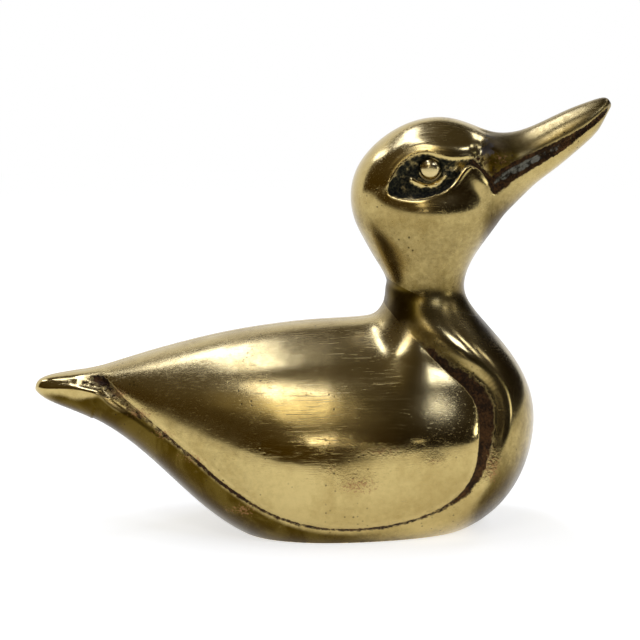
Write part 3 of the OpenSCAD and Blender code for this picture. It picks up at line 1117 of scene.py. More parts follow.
@dataclass(frozen=True)
class PolishedBrass:
    """Hand-polished brass with dark, grainy hollows and rubbed edges."""

    name: str
    bright: Colour = (0.54, 0.42, 0.17, 1.0)
    dull: Colour = (0.36, 0.255, 0.082, 1.0)
    brown: Colour = (0.062, 0.036, 0.002, 1.0)
    umber: Colour = (0.112, 0.074, 0.012, 1.0)
    crust: Colour = (0.022, 0.011, 0.004, 1.0)
    rust: Colour = (0.105, 0.048, 0.014, 1.0)
    copper: Colour = (0.300, 0.150, 0.062, 1.0)
    soot: Colour = (0.004, 0.005, 0.003, 1.0)
    grey: Colour = (0.062, 0.056, 0.026, 1.0)
    tin: Colour = (0.250, 0.240, 0.185, 1.0)
    braze: Colour = (0.110, 0.092, 0.068, 1.0)
    smoothness: float = 0.065

    def build(self, wear: Wear) -> Material:
        """Make the material.

        Args:
            wear: the shared shader groups.

        Returns:
            The material, which reads the masks of the casting.
        """
        material, graph = start_material(self.name)
        place = graph.place()
        marks = self.marks(graph, place, wear)
        metallic = graph.total(1.0, (marks.dirty, -0.12))
        inputs = {
            "Base Color": self.colour(graph, place, marks),
            "Metallic": metallic,
            "Roughness": self.roughness(graph, marks),
        }
        graph.finish_metal(inputs, self.height(graph, place, marks), 0.0006, 0.7)
        return material

    def marks(self, graph: Graph, place: Value, wear: Wear) -> Marks:
        """Spread the casting's masks with noise.

        Args:
            graph: the material's graph.
            place: the object coordinates.
            wear: the shared shader groups.

        Returns:
            All that colour, roughness and bump have in common.
        """
        grit = graph.noise(place, 1500.0, 3.0, 0.7)
        grain = graph.noise(place, 620.0, 4.0, 0.75)
        blot = graph.noise(place, 210.0, 3.0, 0.6)
        rasp, blur = grain - 0.5, blot - 0.5
        recess, soot, solder = (graph.mask(name) for name in ("recess", "soot", "solder"))
        crusted = graph.band(graph.total(recess, (rasp, 1.8)), 0.38, 0.80) * graph.band(recess, 0.02, 0.25)
        sooty = graph.band(graph.total(soot, (rasp, 1.2), (blur, 2.2)), 0.40, 0.95)
        sooty = sooty * graph.band(soot, 0.05, 0.3)
        tinned = graph.band(graph.total(solder, (rasp, 2.4), (blur, 2.4)), 0.45, 1.05)
        tinned = tinned * graph.band(solder, 0.05, 0.3)
        # tarnish mask, which on the body also carries painted shade under the wing, on the lower flank and
        # beside the groove
        tarnish_and_shade_mask = graph.mask("tarnish_and_shade")
        lines = graph.group(wear.scratches, Vector=place, Density=0.9)
        satin = graph.mask("satin") * graph.band(graph.noise(place, 30.0, 3.0), 0.25, 0.65, 0.6, 1.0)
        return Marks(
            lines=lines,
            clouds=graph.group(wear.clouds, Vector=place, Scale=42.0),
            pits=graph.group(wear.pits, Vector=place, Size=850.0, Amount=0.35)["Pits"],
            grit=grit,
            grain=grain,
            blot=blot,
            crusted=crusted,
            sooty=sooty,
            dirty=graph.most(crusted, sooty),
            tinned=tinned,
            mottled_tarnish_and_shade=graph.band(tarnish_and_shade_mask + rasp, 0.0, 0.95) * tarnish_and_shade_mask,
            satin=satin,
            strokes=satin * graph.band(lines["Brushed"], 0.30, 0.70),
        )

    def colour(self, graph: Graph, place: Value, marks: Marks) -> Value:
        """Lay the colours over each other, from the bare brass through tarnish and painted shade to the
        dirt.

        Args:
            graph: the material's graph.
            place: the object coordinates.
            marks: wear and dirt.

        Returns:
            The colour of the metal.
        """
        pitted = graph.mask("pitted")
        shade = marks.clouds["Cloud"] * 0.55 + marks.clouds["Mottle"] * 0.16
        streak = graph.band(graph.noise(place, 95.0, 5.0, 0.65, 0.8), 0.40, 0.62)
        specks = graph.band(graph.total(pitted, (marks.grit - 0.5, 2.2)), 0.62, 0.95)
        specks = specks * graph.band(pitted, 0.1, 0.5)
        patchy = graph.total(marks.grit, (marks.blot - 0.5, 0.8))
        soil = graph.blend(graph.band(patchy, 0.35, 0.75), self.crust, self.rust)
        ash = graph.blend(graph.band(marks.grit, 0.4, 0.75), self.soot, self.grey)
        filler = graph.blend(graph.band(graph.mask("soot"), 0.2, 0.6), self.braze, self.tin)
        colour = graph.blend(shade, self.bright, self.dull)
        for factor, layer in (
            # brown and umber tarnish, which on the body also paints shade under the wing, on the lower
            # flank and beside the groove
            (marks.mottled_tarnish_and_shade, graph.blend(streak, self.brown, self.umber)),
            (graph.mask("rim") * graph.band(marks.grain, 0.35, 0.6), self.bright),
            (marks.pits * 0.85, self.crust),
            (specks * 0.7, self.copper),
            (marks.crusted, soil),
            (marks.sooty, ash),
            (marks.tinned, filler),
        ):
            colour = graph.blend(factor, colour, layer)
        return colour

    def roughness(self, graph: Graph, marks: Marks) -> Value:
        """Return how rough the metal is.

        Args:
            graph: the material's graph.
            marks: wear and dirt.

        Returns:
            The roughness.
        """
        return graph.total(
            self.smoothness,
            (marks.lines["Lines"], 0.20),
            (marks.lines["Haze"], 0.04),
            (marks.satin, 0.10),
            (marks.strokes, 0.065),
            (marks.tinned, 0.10),
            (marks.clouds["Cloud"], 0.07),
            (marks.mottled_tarnish_and_shade, 0.16),
            (marks.dirty, 0.42),
        )

    def height(self, graph: Graph, place: Value, marks: Marks) -> Value:
        """Return the height of waves, strokes, pits and crust.

        Args:
            graph: the material's graph.
            place: the object coordinates.
            marks: wear and dirt.

        Returns:
            The height for the bump.
        """
        return graph.total(
            graph.noise(place, 75.0, 2.0, 0.5) * 0.30,
            (marks.lines["Lines"], -0.012),
            (marks.strokes, 0.0025),
            (marks.sooty * marks.blot, 0.5),
            (marks.pits, -0.05),
            (graph.mask("pitted") * marks.grit, 0.42),
            (marks.crusted * marks.grain, 0.9),
            (marks.crusted * marks.grit, 0.35),
        )


@dataclass(frozen=True)
class RoughMetal:
    """Metal as it comes from the mould, a coarse file or a plating bath."""

    name: str
    light: Colour
    dark: Colour
    scale: float
    relief: float
    base_roughness: float

    def build(self, wear: Wear) -> Material:
        """Make the material.

        Args:
            wear: the shared shader groups.

        Returns:
            The material.
        """
        material, graph = start_material(self.name)
        place = graph.place()
        lines = graph.group(wear.scratches, Vector=place)["Lines"]
        grain = graph.noise(place, self.scale, 6.0, 0.7)
        blotch = graph.noise(place, self.scale * 0.12, 4.0, 0.6)
        inputs = {
            "Base Color": graph.blend(graph.band(grain + blotch, 0.8, 1.2), self.dark, self.light),
            "Metallic": 1.0,
            "Roughness": graph.total(self.base_roughness - 0.15, (grain, 0.3)),
        }
        graph.finish_metal(inputs, graph.total(grain, (lines, -0.4)), self.relief, 0.8)
        return material


@dataclass(frozen=True)
class NeckJoint:
    """The spigot under the neck, and the screw and washer that hold it."""

    pattern: Pattern = field(default_factory=Pattern)
    spigot_radius: float = 6.5
    spigot_length: float = 6.0
    spigot_clearance: float = 0.1
    shelf_bottom: float = -12.1
    boss_radius: float = 9.0
    washer_thickness: float = 1.2
    washer_radius: float = 6.5
    screw_radius: float = 2.5
    screw_length: float = 26.0
    head_radius: float = 4.5
    head_height: float = 3.2
    clearance: float = 0.3
    thread_clearance: float = 0.05
    boss_top: float = 30.0
    socket_top: float = 4.0
    overlap: float = 1.0
    overshoot: float = 2.0

    def rod(self, name: str, low: float, high: float, radius: float, material: Material) -> Piece:
        """Make a cylinder on the axis of the neck.

        Args:
            name: name of the object.
            low: where it starts, up from the neck seat.
            high: where it ends.
            radius: its radius.
            material: material of its faces.

        Returns:
            The new object.
        """
        middle, axis = self.pattern.neck_frame()
        return turned(name, middle, axis, ((low, radius), (high, radius)), material)

    def boss(self, material: Material) -> Piece:
        """Make the metal inside the body that the neck screw pulls on."""
        return self.rod("boss", self.shelf_bottom, self.boss_top, self.boss_radius, material)

    def body_bores(self, material: Material) -> list[Piece]:
        """Make what is bored out of the body: the socket and the screw hole.

        Args:
            material: material of the bored faces.

        Returns:
            One cylinder for each.
        """
        deep = -self.spigot_length - self.spigot_clearance
        wide = self.spigot_radius + self.spigot_clearance
        hole = self.screw_radius + self.clearance
        return [
            self.rod("socket", deep, self.socket_top, wide, material),
            self.rod("hole", self.shelf_bottom - self.overshoot, self.overshoot, hole, material),
        ]

    def spigot(self, material: Material) -> Piece:
        """Make the plug under the head."""
        return self.rod("spigot", -self.spigot_length, self.overlap, self.spigot_radius, material)

    def thread_bore(self, material: Material) -> Piece:
        """Make the tapped hole that runs up into the head.

        Args:
            material: material of the bored faces.

        Returns:
            A cylinder in its place.
        """
        low = -self.spigot_length - self.overlap
        top = self.shelf_bottom - self.washer_thickness + self.screw_length + self.overshoot
        radius = self.screw_radius + self.thread_clearance
        return self.rod("tapping", low, top, radius, material)


@dataclass
class BodyCasting:
    """One half of the hollow body, from the tail up to the neck seat.

    Each spot of pits holds x, z, width, height and strength, and each of the
    rings holds a place along the pattern and the number up to the next one.
    The space below the table, which cuts the foot off flat, is x and z.
    """

    node: str
    left: bool
    finishes: dict[Skin, Material]
    neck: NeckJoint
    pattern: Pattern = field(default_factory=Pattern)
    wing: WingRelief = field(default_factory=WingRelief)
    wall: float = 3.4
    seam_gap: float = 0.01
    seam_depth: float = 0.10
    seam_width: float = 0.35
    below: Rows = ((-90.0, -20.0), (90.0, -20.0), (90.0, 0.0), (-90.0, 0.0))
    below_half: float = 60.0
    spots: Rows = (
        (9.4, 16.5, 8.0, 3.2, 0.8), (15.7, 25.6, 7.0, 1.6, 0.8), (29.0, 22.5, 3.0, 1.6, 0.7),
        (44.0, 20.0, 3.0, 6.0, 0.9), (-52.0, 36.5, 3.6, 2.6, 1.0), (-46.5, 32.0, 4.0, 1.8, 1.0),
        (-40.0, 27.3, 4.0, 1.6, 0.9), (-33.0, 22.0, 5.0, 2.0, 0.8), (-20.0, 9.0, 6.0, 2.5, 0.8),
        (3.0, 21.0, 2.0, 1.5, 0.6),
    )
    segments: int = 176
    rings: Rows = ((-1.0, 30), (1.0, 30), (3.0, 104), (7.0, 126), (13.0, 96), (16.0, 40), (18.0, 0))
    cavity_rings: Rows = ((4.0, 46), (15.5, 0))
    cavity_segments: int = 96

    def outer(self) -> Surface:
        """Lay out the outer skin of the left half with its relief and masks.

        Returns:
            Open rings from the back to the breast.
        """
        angles = np.linspace(0.0, math.pi, self.segments + 1)
        padded = np.concatenate([[-angles[1]], angles, [math.pi + angles[1]]])
        full = self.pattern.rings(spaced(self.rings), padded)
        full[:, 0, 1] = -full[:, 2, 1]
        full[:, -1, 1] = -full[:, -3, 1]
        normal = normals_of(full, closed=False)[:, 1:-1]
        grid = full[:, 1:-1]
        xz = side_view(grid)
        depth, dark, rim, beyond = shaped((*self.wing.fields(xz), beside(self.wing.edge, xz).out), grid)
        seam = self.seam_depth * bell(grid[..., 1] / self.seam_width)
        grid = pressed(grid, normal, depth + seam)
        grid[..., 1] = np.maximum(grid[..., 1], self.seam_gap)
        x, z = grid[..., 0], grid[..., 2]
        masks = {
            "recess": dark,
            "rim": rim,
            "tarnish_and_shade": self.tarnish_and_shade(x, z, beyond),
            "pitted": self.pitted(x, z),
            "soot": np.zeros(dark.shape),
            "solder": np.zeros(dark.shape),
            "satin": self.satin(x, z),
        }
        return Surface(grid, masks)

    def tarnish_and_shade(self, x: Array, z: Array, beyond: Array) -> Array:
        """Work out where the body is tarnished, and where shade is painted in under the wing, on the lower
        flank and beside the groove.

        Args:
            x: millimetres toward the bill.
            z: millimetres up.
            beyond: millimetres outside the edge of the wing.

        Returns:
            A mask from 0 to 1.
        """
        # painted shade with tarnish: the skirt under the wing edge is darkened for the shadowed table that
        # it mirrors, and kept lighter at the tail tip
        start = 0.4 + 3.0 * ramp(x, -46.0, -54.0)
        tip = 1 - 0.9 * ramp(x, -56.0, -60.0) * ramp(z, 34.2, 36.4)
        skirt = tip * ramp(beyond - start, 0.0, 2.5) * ramp(x, 34.0, 4.0) * ramp(x, -78.0, -68.0)
        # painted shade: darker towards the bottom, under the wing
        under = 0.4 * ramp(beyond, 3.0, 7.0) * ramp(z, 26.0, 12.0)
        neck = 0.75 * ramp(z, 46.0, 58.0) * ramp(x, 10.0, 18.0)
        breast = 0.60 * ramp(beyond, 3.0, 6.0) * ramp(x, 36.0, 42.0)
        # painted shade: the lower left flank is darkened for the dimmer table that it mirrors
        flank = 0.42 * ramp(x, 4.0, -26.0) * ramp(x, -62.0, -54.0) * ramp(z, 40.0, 30.0)
        # painted shade over a bright reflection beside the upper groove, together with its brown crumbs of
        # dirt
        upper = 0.85 * ramp(beyond, -0.6, 0.6) * ramp(beyond, 9.0, 3.0)
        upper = upper * ramp(z, 20.0, 28.0) * ramp(x, 18.0, 24.0)
        return np.clip(np.maximum(skirt + under + neck + breast + flank, upper), 0.0, 1.0)

    def satin(self, x: Array, z: Array) -> Array:
        """Return where the body is brushed and not polished bright.

        Args:
            x: millimetres toward the bill.
            z: millimetres up.

        Returns:
            A mask, which can exceed 1.
        """
        brushed = ramp(z, 24.0, 34.0) * (1 - 0.8 * ramp(x, 2.0, 22.0)) * ramp(x, -66.0, -56.0)
        front = spot(x, z, (31.0, 38.0), (7.0, 9.0))
        return brushed + front + 0.6 * spot(x, z, (17.0, 54.0), (9.0, 7.0))

    def pitted(self, x: Array, z: Array) -> Array:
        """Return where the polish is broken by small copper-coloured pits.

        Args:
            x: millimetres toward the bill.
            z: millimetres up.

        Returns:
            A mask from 0 to 1.
        """
        total = np.zeros(x.shape)
        for at_x, at_z, wide, tall, strength in self.spots:
            total += strength * spot(x, z, (at_x, at_z), (wide, tall))
        return np.clip(total, 0.0, 1.0)

    def cavity(self) -> Piece:
        """Make the hollow inside, less the boss that the neck screw pulls on.

        Returns:
            The closed solid of the hollow.
        """
        cast = self.finishes[Skin.AS_CAST]
        angles = np.linspace(0.0, 2 * math.pi, self.cavity_segments + 1)[:-1]
        rings = self.pattern.rings(spaced(self.cavity_rings), angles, self.wall)
        inside = skin_mesh("cavity", Surface(rings, {}), cast)
        carve(inside, [self.neck.boss(cast)])
        return inside

    def build(self) -> Piece:
        """Make the half casting and register it for its CAD node.

        Returns:
            The finished half.
        """
        filed = self.finishes[Skin.FILED]
        piece = skin_mesh(self.node + "_casting", self.outer(), self.finishes[Skin.POLISHED])
        ground = prism("ground", np.array(self.below), self.below_half, filed)
        carve(piece, [self.cavity(), ground] + self.neck.body_bores(filed))
        if not self.left:
            points = np.empty(len(piece.data.vertices) * 3)
            piece.data.vertices.foreach_get("co", points)
            points[1::3] *= -1
            piece.data.vertices.foreach_set("co", points)
            piece.data.flip_normals()
        return register(piece, self.node)


@dataclass
class HeadCasting:
    """Neck, head and lower bill in one casting, and the upper bill on it."""

    finishes: dict[Skin, Material]
    neck: NeckJoint
    eyes: "EyePair"
    pattern: Pattern = field(default_factory=Pattern)
    eye: EyeRelief = field(default_factory=EyeRelief)
    mouth: MouthRelief = field(default_factory=MouthRelief)
    segments: int = 288
    rings: Rows = ((18.0, 20), (20.0, 120), (28.0, 120), (35.0, 12), (36.0, 0))
    bill_from: float = 26.0
    bill_gap: float = 0.04
    bill_half: float = 30.0
    eye_fade: tuple[float, float] = (2.5, 5.5)
    mouth_fade: tuple[float, float] = (0.6, 3.0)

    def surface(self, first: float) -> Surface:
        """Lay out the skin of the head and bill with its relief and masks.

        Args:
            first: place along the pattern where it starts.

        Returns:
            Closed rings up to the tip of the bill.
        """
        at = spaced(self.rings)
        angles = np.linspace(0.0, 2 * math.pi, self.segments + 1)[:-1]
        grid = self.pattern.rings(at[at >= first], angles)
        xz = side_view(grid)
        eye, eye_dark, eye_rim = shaped(self.eye.fields(xz), grid)
        mouth, mouth_dark, mouth_rim = shaped(self.mouth.fields(xz), grid)
        silver, solder = shaped((self.mouth.silver(xz), self.mouth.solder(xz)), grid)
        side = ramp(np.abs(grid[..., 1]), *self.eye_fade)
        wide = ramp(np.abs(grid[..., 1]), *self.mouth_fade)
        depth = np.where(eye > 0, np.maximum(eye * side, mouth * wide), eye * side + mouth * wide)
        grid = pressed(grid, normals_of(grid, closed=True), depth)
        x, z = grid[..., 0], grid[..., 2]
        masks = {
            "recess": np.clip(mouth_dark * wide, 0.0, 1.0),
            "soot": np.clip(np.maximum(eye_dark * side, 0.9 * silver * wide), 0.0, 1.0),
            "solder": np.maximum(solder * side, 0.85 * silver * wide),
            "rim": np.clip(np.maximum(eye_rim * side, mouth_rim * wide), 0.0, 1.0),
            "tarnish_and_shade": self.tarnish_and_shade(x, z),
            "pitted": 0.6 * spot(x, z, (46.0, 97.0), (5.0, 4.0)),
            "satin": 0.45 + np.maximum(0.75 * ramp(x, 40.0, 46.0), 0.5 * ramp(z, 97.0, 101.0)),
        }
        return Surface(grid, masks)

    def tarnish_and_shade(self, x: Array, z: Array) -> Array:
        """Return how tarnished the neck, the throat and the bill are.

        Args:
            x: millimetres toward the bill.
            z: millimetres up.

        Returns:
            A mask from 0 to 1.
        """
        neck = 0.62 * ramp(z, 92.0, 80.0) + 0.20 * ramp(z, 70.0, 62.0)
        line = np.interp(x, [40.0, 45.0, 54.0, 64.0, 76.0], [86.0, 89.5, 96.0, 101.5, 110.0])
        bill = 0.36 + 0.26 * ramp(z - line, 0.0, 1.5) + 0.2 * ramp(x, 69.0, 73.0)
        root = 0.65 * spot(x, z, (46.0, 96.5), (5.5, 5.0))
        return np.clip(neck + ramp(x, 40.0, 44.0) * bill + root, 0.0, 1.0)

    def bill_outline(self, gap: float) -> Array:
        """Draw the space of the upper bill in the side view.

        Args:
            gap: how much larger it is than the bill, below 0 if smaller.

        Returns:
            Corners of the outline, x and z.
        """
        mouth = [
            (45.0, 90.0), (49.0, 93.5), (54.0, 96.5), (59.5, 99.5),
            (64.0, 101.5), (68.5, 104.0), (72.0, 106.5), (76.0, 108.5),
        ]
        root = [(44.0, 105.0), (41.5, 101.0), (40.0, 97.0)]
        outer = [(80.0, 108.5 - gap), (80.0, 125.0), (46.0 - gap, 125.0)]
        low = [(x - gap * 0.6, z - gap) for x, z in mouth]
        return np.array(low + outer + [(x - gap, z) for x, z in root])

    def build(self) -> Piece:
        """Make the casting of the head and register it for its CAD node.

        Returns:
            The finished head.
        """
        filed, seam = self.finishes[Skin.FILED], self.finishes[Skin.SEAM]
        surface = self.surface(self.pattern.neck)
        piece = skin_mesh("head_casting", surface, self.finishes[Skin.POLISHED])
        carve(piece, [self.neck.spigot(filed)], "UNION")
        space = prism("bill_space", self.bill_outline(self.bill_gap), self.bill_half, seam)
        carve(piece, [space, self.neck.thread_bore(filed)] + self.eyes.seats(filed))
        refill(piece, surface)
        return register(piece, "head")

    def build_bill(self) -> Piece:
        """Make the upper bill, which is brazed on, and register it.

        Returns:
            The finished bill.
        """
        surface = self.surface(self.bill_from)
        piece = skin_mesh("upper_bill_casting", surface, self.finishes[Skin.POLISHED])
        inside = self.bill_outline(-self.bill_gap)
        kept = prism("bill_keep", inside, self.bill_half, self.finishes[Skin.SEAM])
        carve(piece, [kept], "INTERSECT")
        refill(piece, surface)
        return register(piece, "upper_bill")


PointMaker = Callable[[Value, Value], tuple[Value | float, Value | float]]


class Lathe(Group):
    """A Geometry Nodes group that turns one small part from its sizes."""

    def __init__(self, name: str, sizes: dict[str, float]) -> None:
        """Start a group with an input for each size, given in millimetres."""
        self.sizes = {label: value * MM for label, value in sizes.items()}
        super().__init__(name, "GeometryNodeTree", self.sizes)

    def wrap(self, rows: int, steps: int, shape: PointMaker) -> Value:
        """Wrap a grid round Z.

        Args:
            rows: points from end to end.
            steps: steps round Z.
            shape: works out radius and height from a point's row and turn.

        Returns:
            The closed mesh.
        """
        sizes = {"Size X": 1.0, "Size Y": 1.0, "Vertices X": steps + 1, "Vertices Y": rows}
        grid = self.get("GeometryNodeMeshGrid", sizes)
        index = self.get("GeometryNodeInputIndex", {})
        turn = self.math("FLOOR", (index + 0.5) / float(rows)) * (2 * math.pi / steps)
        radius, height = shape(self.math("MODULO", index, float(rows)), turn)
        across = [radius * self.math(way, turn) for way in ("COSINE", "SINE")]
        place = self.get("ShaderNodeCombineXYZ", {0: across[0], 1: across[1], 2: height})
        moved = self.get("GeometryNodeSetPosition", {0: grid, "Position": place})
        return self.get("GeometryNodeMergeByDistance", {0: moved, "Distance": 0.000002})

    def revolve(self, outline: list[tuple[Value | float, Value | float]], steps: int) -> Value:
        """Sweep an outline of radius and height pairs round Z.

        Args:
            outline: radius and height of each corner, from the foot up.
            steps: number of steps round the axis.

        Returns:
            The closed mesh.
        """
        def shape(row: Value, turn: Value) -> tuple[Value, Value]:
            """Pick the corner of a row.

            Args:
                row: number of the corner.
                turn: radians round Z, not used, since the outline is the same all round.

            Returns:
                Radius and height of the corner.
            """
            radius: Value | float = 0.0
            height: Value | float = 0.0
            for number, (r, z) in enumerate(outline):
                here = self.math("COMPARE", row, float(number), 0.25)
                radius = self.math("MULTIPLY_ADD", here, r, radius)
                height = self.math("MULTIPLY_ADD", here, z, height)
            return radius, height

        return self.wrap(len(outline), steps, shape)

    def dress(self, shape: Value, material: Material) -> None:
        """End the group in the mesh of the part with its material.

        Args:
            shape: the mesh of the part.
            material: its material.
        """
        real = self.get("GeometryNodeRealizeInstances", {0: shape})
        dressed = self.get("GeometryNodeSetMaterial", {0: real, "Material": material})
        self.finish({"Geometry": dressed}, "NodeSocketGeometry")

    def make(self, name: str, place: Array, axis: Array) -> Piece:
        """Run the group and move the result into its place.

        Args:
            name: name of the piece.
            place: where the group's origin goes, in millimetres.
            axis: where the group's Z points.

        Returns:
            The piece, at the origin with its place in its mesh.
        """
        piece = new_object(name, bpy.data.meshes.new(name))
        modifier = piece.modifiers.new(self.tree.name, "NODES")
        modifier.node_group = self.tree
        for label, value in self.sizes.items():
            modifier[self.keys[label]] = value
        bake(piece)
        turn = Vector((0, 0, 1)).rotation_difference(Vector(axis.tolist())).to_matrix().to_4x4()
        turn.translation = Vector((place * MM).tolist())
        piece.data.transform(turn)
        face_outward(piece.data)
        return piece


@dataclass
class EyePair:
    """The two bead eyes, each a domed button on a shank pressed into the head."""

    material: Material
    pattern: Pattern = field(default_factory=Pattern)
    station: float = 25.0
    angle: float = 77.0
    radius: float = 2.7
    gap: float = 0.5
    seat_depth: float = 1.9
    height: float = 1.9
    shank_radius: float = 1.2
    shank_length: float = 5.0
    shank_clearance: float = 0.05
    dome_steps: int = 14
    steps: int = 64
    bore_end: float = 0.1
    seat_out: float = 3.0
    ledge: float = 0.0001

    def seat(self, side: float) -> Array:
        """Return the middle of the flat seat of one bead."""
        x, y, z = self.pattern.side_of(self.station, self.angle)
        return np.array([x, side * (y - self.seat_depth), z])

    def seats(self, material: Material) -> list[Piece]:
        """Make what is drilled out of the head for the two beads.

        Args:
            material: material of the drilled faces.

        Returns:
            One stepped plug for each side.
        """
        made = []
        deep = self.shank_length + self.bore_end
        bore, ring = self.shank_radius + self.shank_clearance, self.radius + self.gap * 0.5
        for side in (-1.0, 1.0):
            axis = np.array([0.0, side, 0.0])
            outline = (
                (0.0, bore), (deep, bore), (deep + self.ledge, ring), (deep + self.seat_out, ring),
            )
            made.append(turned("eye_seat", self.seat(side) - axis * deep, axis, outline, material))
        return made

    def build(self) -> list[Piece]:
        """Make both beads and register them for their CAD nodes.

        Returns:
            The right bead and the left one.
        """
        lathe = Lathe("bead eye", {
            "Radius": self.radius,
            "Height": self.height,
            "Shank radius": self.shank_radius,
            "Shank length": self.shank_length,
        })
        down, shank = lathe.take("Shank length") * -1.0, lathe.take("Shank radius")
        outline: list[tuple[Value | float, Value | float]] = [(0.0, down), (shank, down), (shank, 0.0)]
        for share in np.linspace(0.0, 1.0, self.dome_steps):
            angle = share * math.pi / 2
            radius = lathe.take("Radius") * (math.cos(angle) ** 0.8 if share < 1 else 0.0)
            outline.append((radius, lathe.take("Height") * math.sin(angle)))
        lathe.dress(lathe.revolve(outline, self.steps), self.material)
        made = []
        for node, side in (("eye_right", -1.0), ("eye_left", 1.0)):
            axis = np.array([0.0, side, 0.0])
            piece = lathe.make(node + "_bead", self.seat(side), axis)
            made.append(register(piece, node))
        return made


@dataclass
class NeckFixing:
    """The slotted screw and the washer seen in the hollow of the body."""

    material: Material
    neck: NeckJoint
    thread_pitch: float = 0.8
    slot_width: float = 1.2
    slot_depth: float = 1.4
    washer_edge: float = 0.18
    head_round: float = 0.9
    head_chamfer: float = 0.25
    sharp_from: float = 30.0
    washer_steps: int = 96
    thread_steps: int = 36
    rows_per_turn: int = 6
    slot_half: float = 6.0

    def foot(self) -> tuple[Array, Array]:
        """Return where the screw head bears on the washer, and the axis."""
        middle, axis = self.neck.pattern.neck_frame()
        return middle + axis * (self.neck.shelf_bottom - self.neck.washer_thickness), axis

    def washer(self) -> Piece:
        """Turn the washer with its rounded edges.

        Returns:
            The finished washer.
        """
        lathe = Lathe("plain washer", {
            "Outer radius": self.neck.washer_radius,
            "Inner radius": self.neck.screw_radius + self.neck.clearance,
            "Thickness": self.neck.washer_thickness,
            "Edge": self.washer_edge,
        })
        outer, inner, thick, edge = map(lathe.take, ("Outer radius", "Inner radius", "Thickness", "Edge"))
        outline = [
            (inner, edge), (inner + edge, 0.0), (outer - edge, 0.0), (outer, edge), (outer, thick - edge),
            (outer - edge, thick), (inner + edge, thick), (inner, thick - edge), (inner, edge),
        ]
        lathe.dress(lathe.revolve(outline, self.washer_steps), self.material)
        return lathe.make("neck_washer_turned", *self.foot())

    def shank(self) -> Piece:
        """Turn the shank of the screw with its rolled thread.

        Returns:
            The shank, closed at both ends.
        """
        lathe = Lathe("slotted screw", {
            "Shank radius": self.neck.screw_radius,
            "Pitch": self.thread_pitch,
            "Length": self.neck.screw_length,
        })
        radius, pitch, length = map(lathe.take, ("Shank radius", "Pitch", "Length"))
        rows = int(self.neck.screw_length / self.thread_pitch * self.rows_per_turn)

        def thread(row: Value, turn: Value) -> tuple[Value, Value]:
            """Cut the groove into the plain shank, taper it and close its ends.

            Args:
                row: number of the point along the shank.
                turn: radians round Z.

            Returns:
                Radius and height of the point.
            """
            share = row / float(rows - 1)
            height = lathe.math("MULTIPLY_ADD", share, length + 0.001, -0.001)
            phase = height / pitch * (2 * math.pi) - turn
            groove = (lathe.math("COSINE", phase) + -1.0) * (pitch * 0.22)
            run = lathe.band(share, 0.12, 0.18) * lathe.band(share, 0.985, 1.0, 1.0, 0.9)
            wide = lathe.math("MULTIPLY_ADD", groove, run, radius)
            wide = wide - lathe.band(share, 0.97, 1.0, 0.0, 0.0006)
            return wide * lathe.math("COMPARE", share, 0.5, 0.4999), height

        lathe.dress(lathe.wrap(rows, self.thread_steps, thread), self.material)
        return lathe.make("neck_screw_slotted", *self.foot())

    def screw(self) -> Piece:
        """Join the domed, slotted head onto the threaded shank.

        Returns:
            The whole screw in one mesh.
        """
        shank = self.shank()
        foot, axis = self.foot()
        wide, tall, soft = self.neck.head_radius, self.neck.head_height, self.head_round
        rise = [(0.0, wide - self.head_chamfer), (-self.head_chamfer, wide)]
        arc = np.linspace(0.2, math.pi / 2, 7)
        dome = [(soft - tall - soft * math.sin(a), wide - soft + soft * math.cos(a)) for a in arc]
        cap = turned("screw_head", foot, axis, rise + dome, self.material)
        along = np.cross(axis, [0.0, 1.0, 0.0]) * self.slot_width / 2
        floor, past = self.slot_depth - tall, -tall - 1.0
        corners = [foot + axis * z + along * v for z, v in ((past, -1), (past, 1), (floor, 1), (floor, -1))]
        carve(cap, [prism("screw_slot", np.array(corners)[:, (0, 2)], self.slot_half, self.material)])
        carve(shank, [cap], "UNION")
        return shank

    def build(self) -> list[Piece]:
        """Make both pieces and register them for their CAD nodes."""
        washer = register(self.washer(), "neck_washer", self.sharp_from)
        return [washer, register(self.screw(), "neck_screw", self.sharp_from)]


@dataclass(frozen=True)
class SoftBox:
    """A soft box that faces the duck.

    Azimuth runs from the camera's side round toward the bill and height up
    from the table, both in degrees; spin turns the face about its own axis.
    Distance and size are metres, and a radiance of 1 is white.
    """

    name: str
    azimuth: float
    height: float
    distance: float
    size: tuple[float, float]
    radiance: float
    tint: tuple[float, float, float]
    spin: float = 0.0

    def hang(self, aim: tuple[float, float, float]) -> None:
        """Hang the lamp.

        Args:
            aim: the point that it faces, in metres.
        """
        light = bpy.data.lights.new(self.name, "AREA")
        light.shape = "RECTANGLE"
        light.size, light.size_y = self.size
        light.energy = self.radiance * math.pi * self.size[0] * self.size[1]
        light.color = self.tint
        lamp = new_object(self.name, light)
        turn, rise = math.radians(self.azimuth), math.radians(self.height)
        away = Vector((math.sin(turn) * math.cos(rise), -math.cos(turn) * math.cos(rise), math.sin(rise)))
        lamp.location = Vector(aim) + away * self.distance
        facing = (-away).to_track_quat("-Z", "Y")
        lamp.rotation_euler = (facing @ Quaternion((0.0, 0.0, 1.0), math.radians(self.spin))).to_euler()


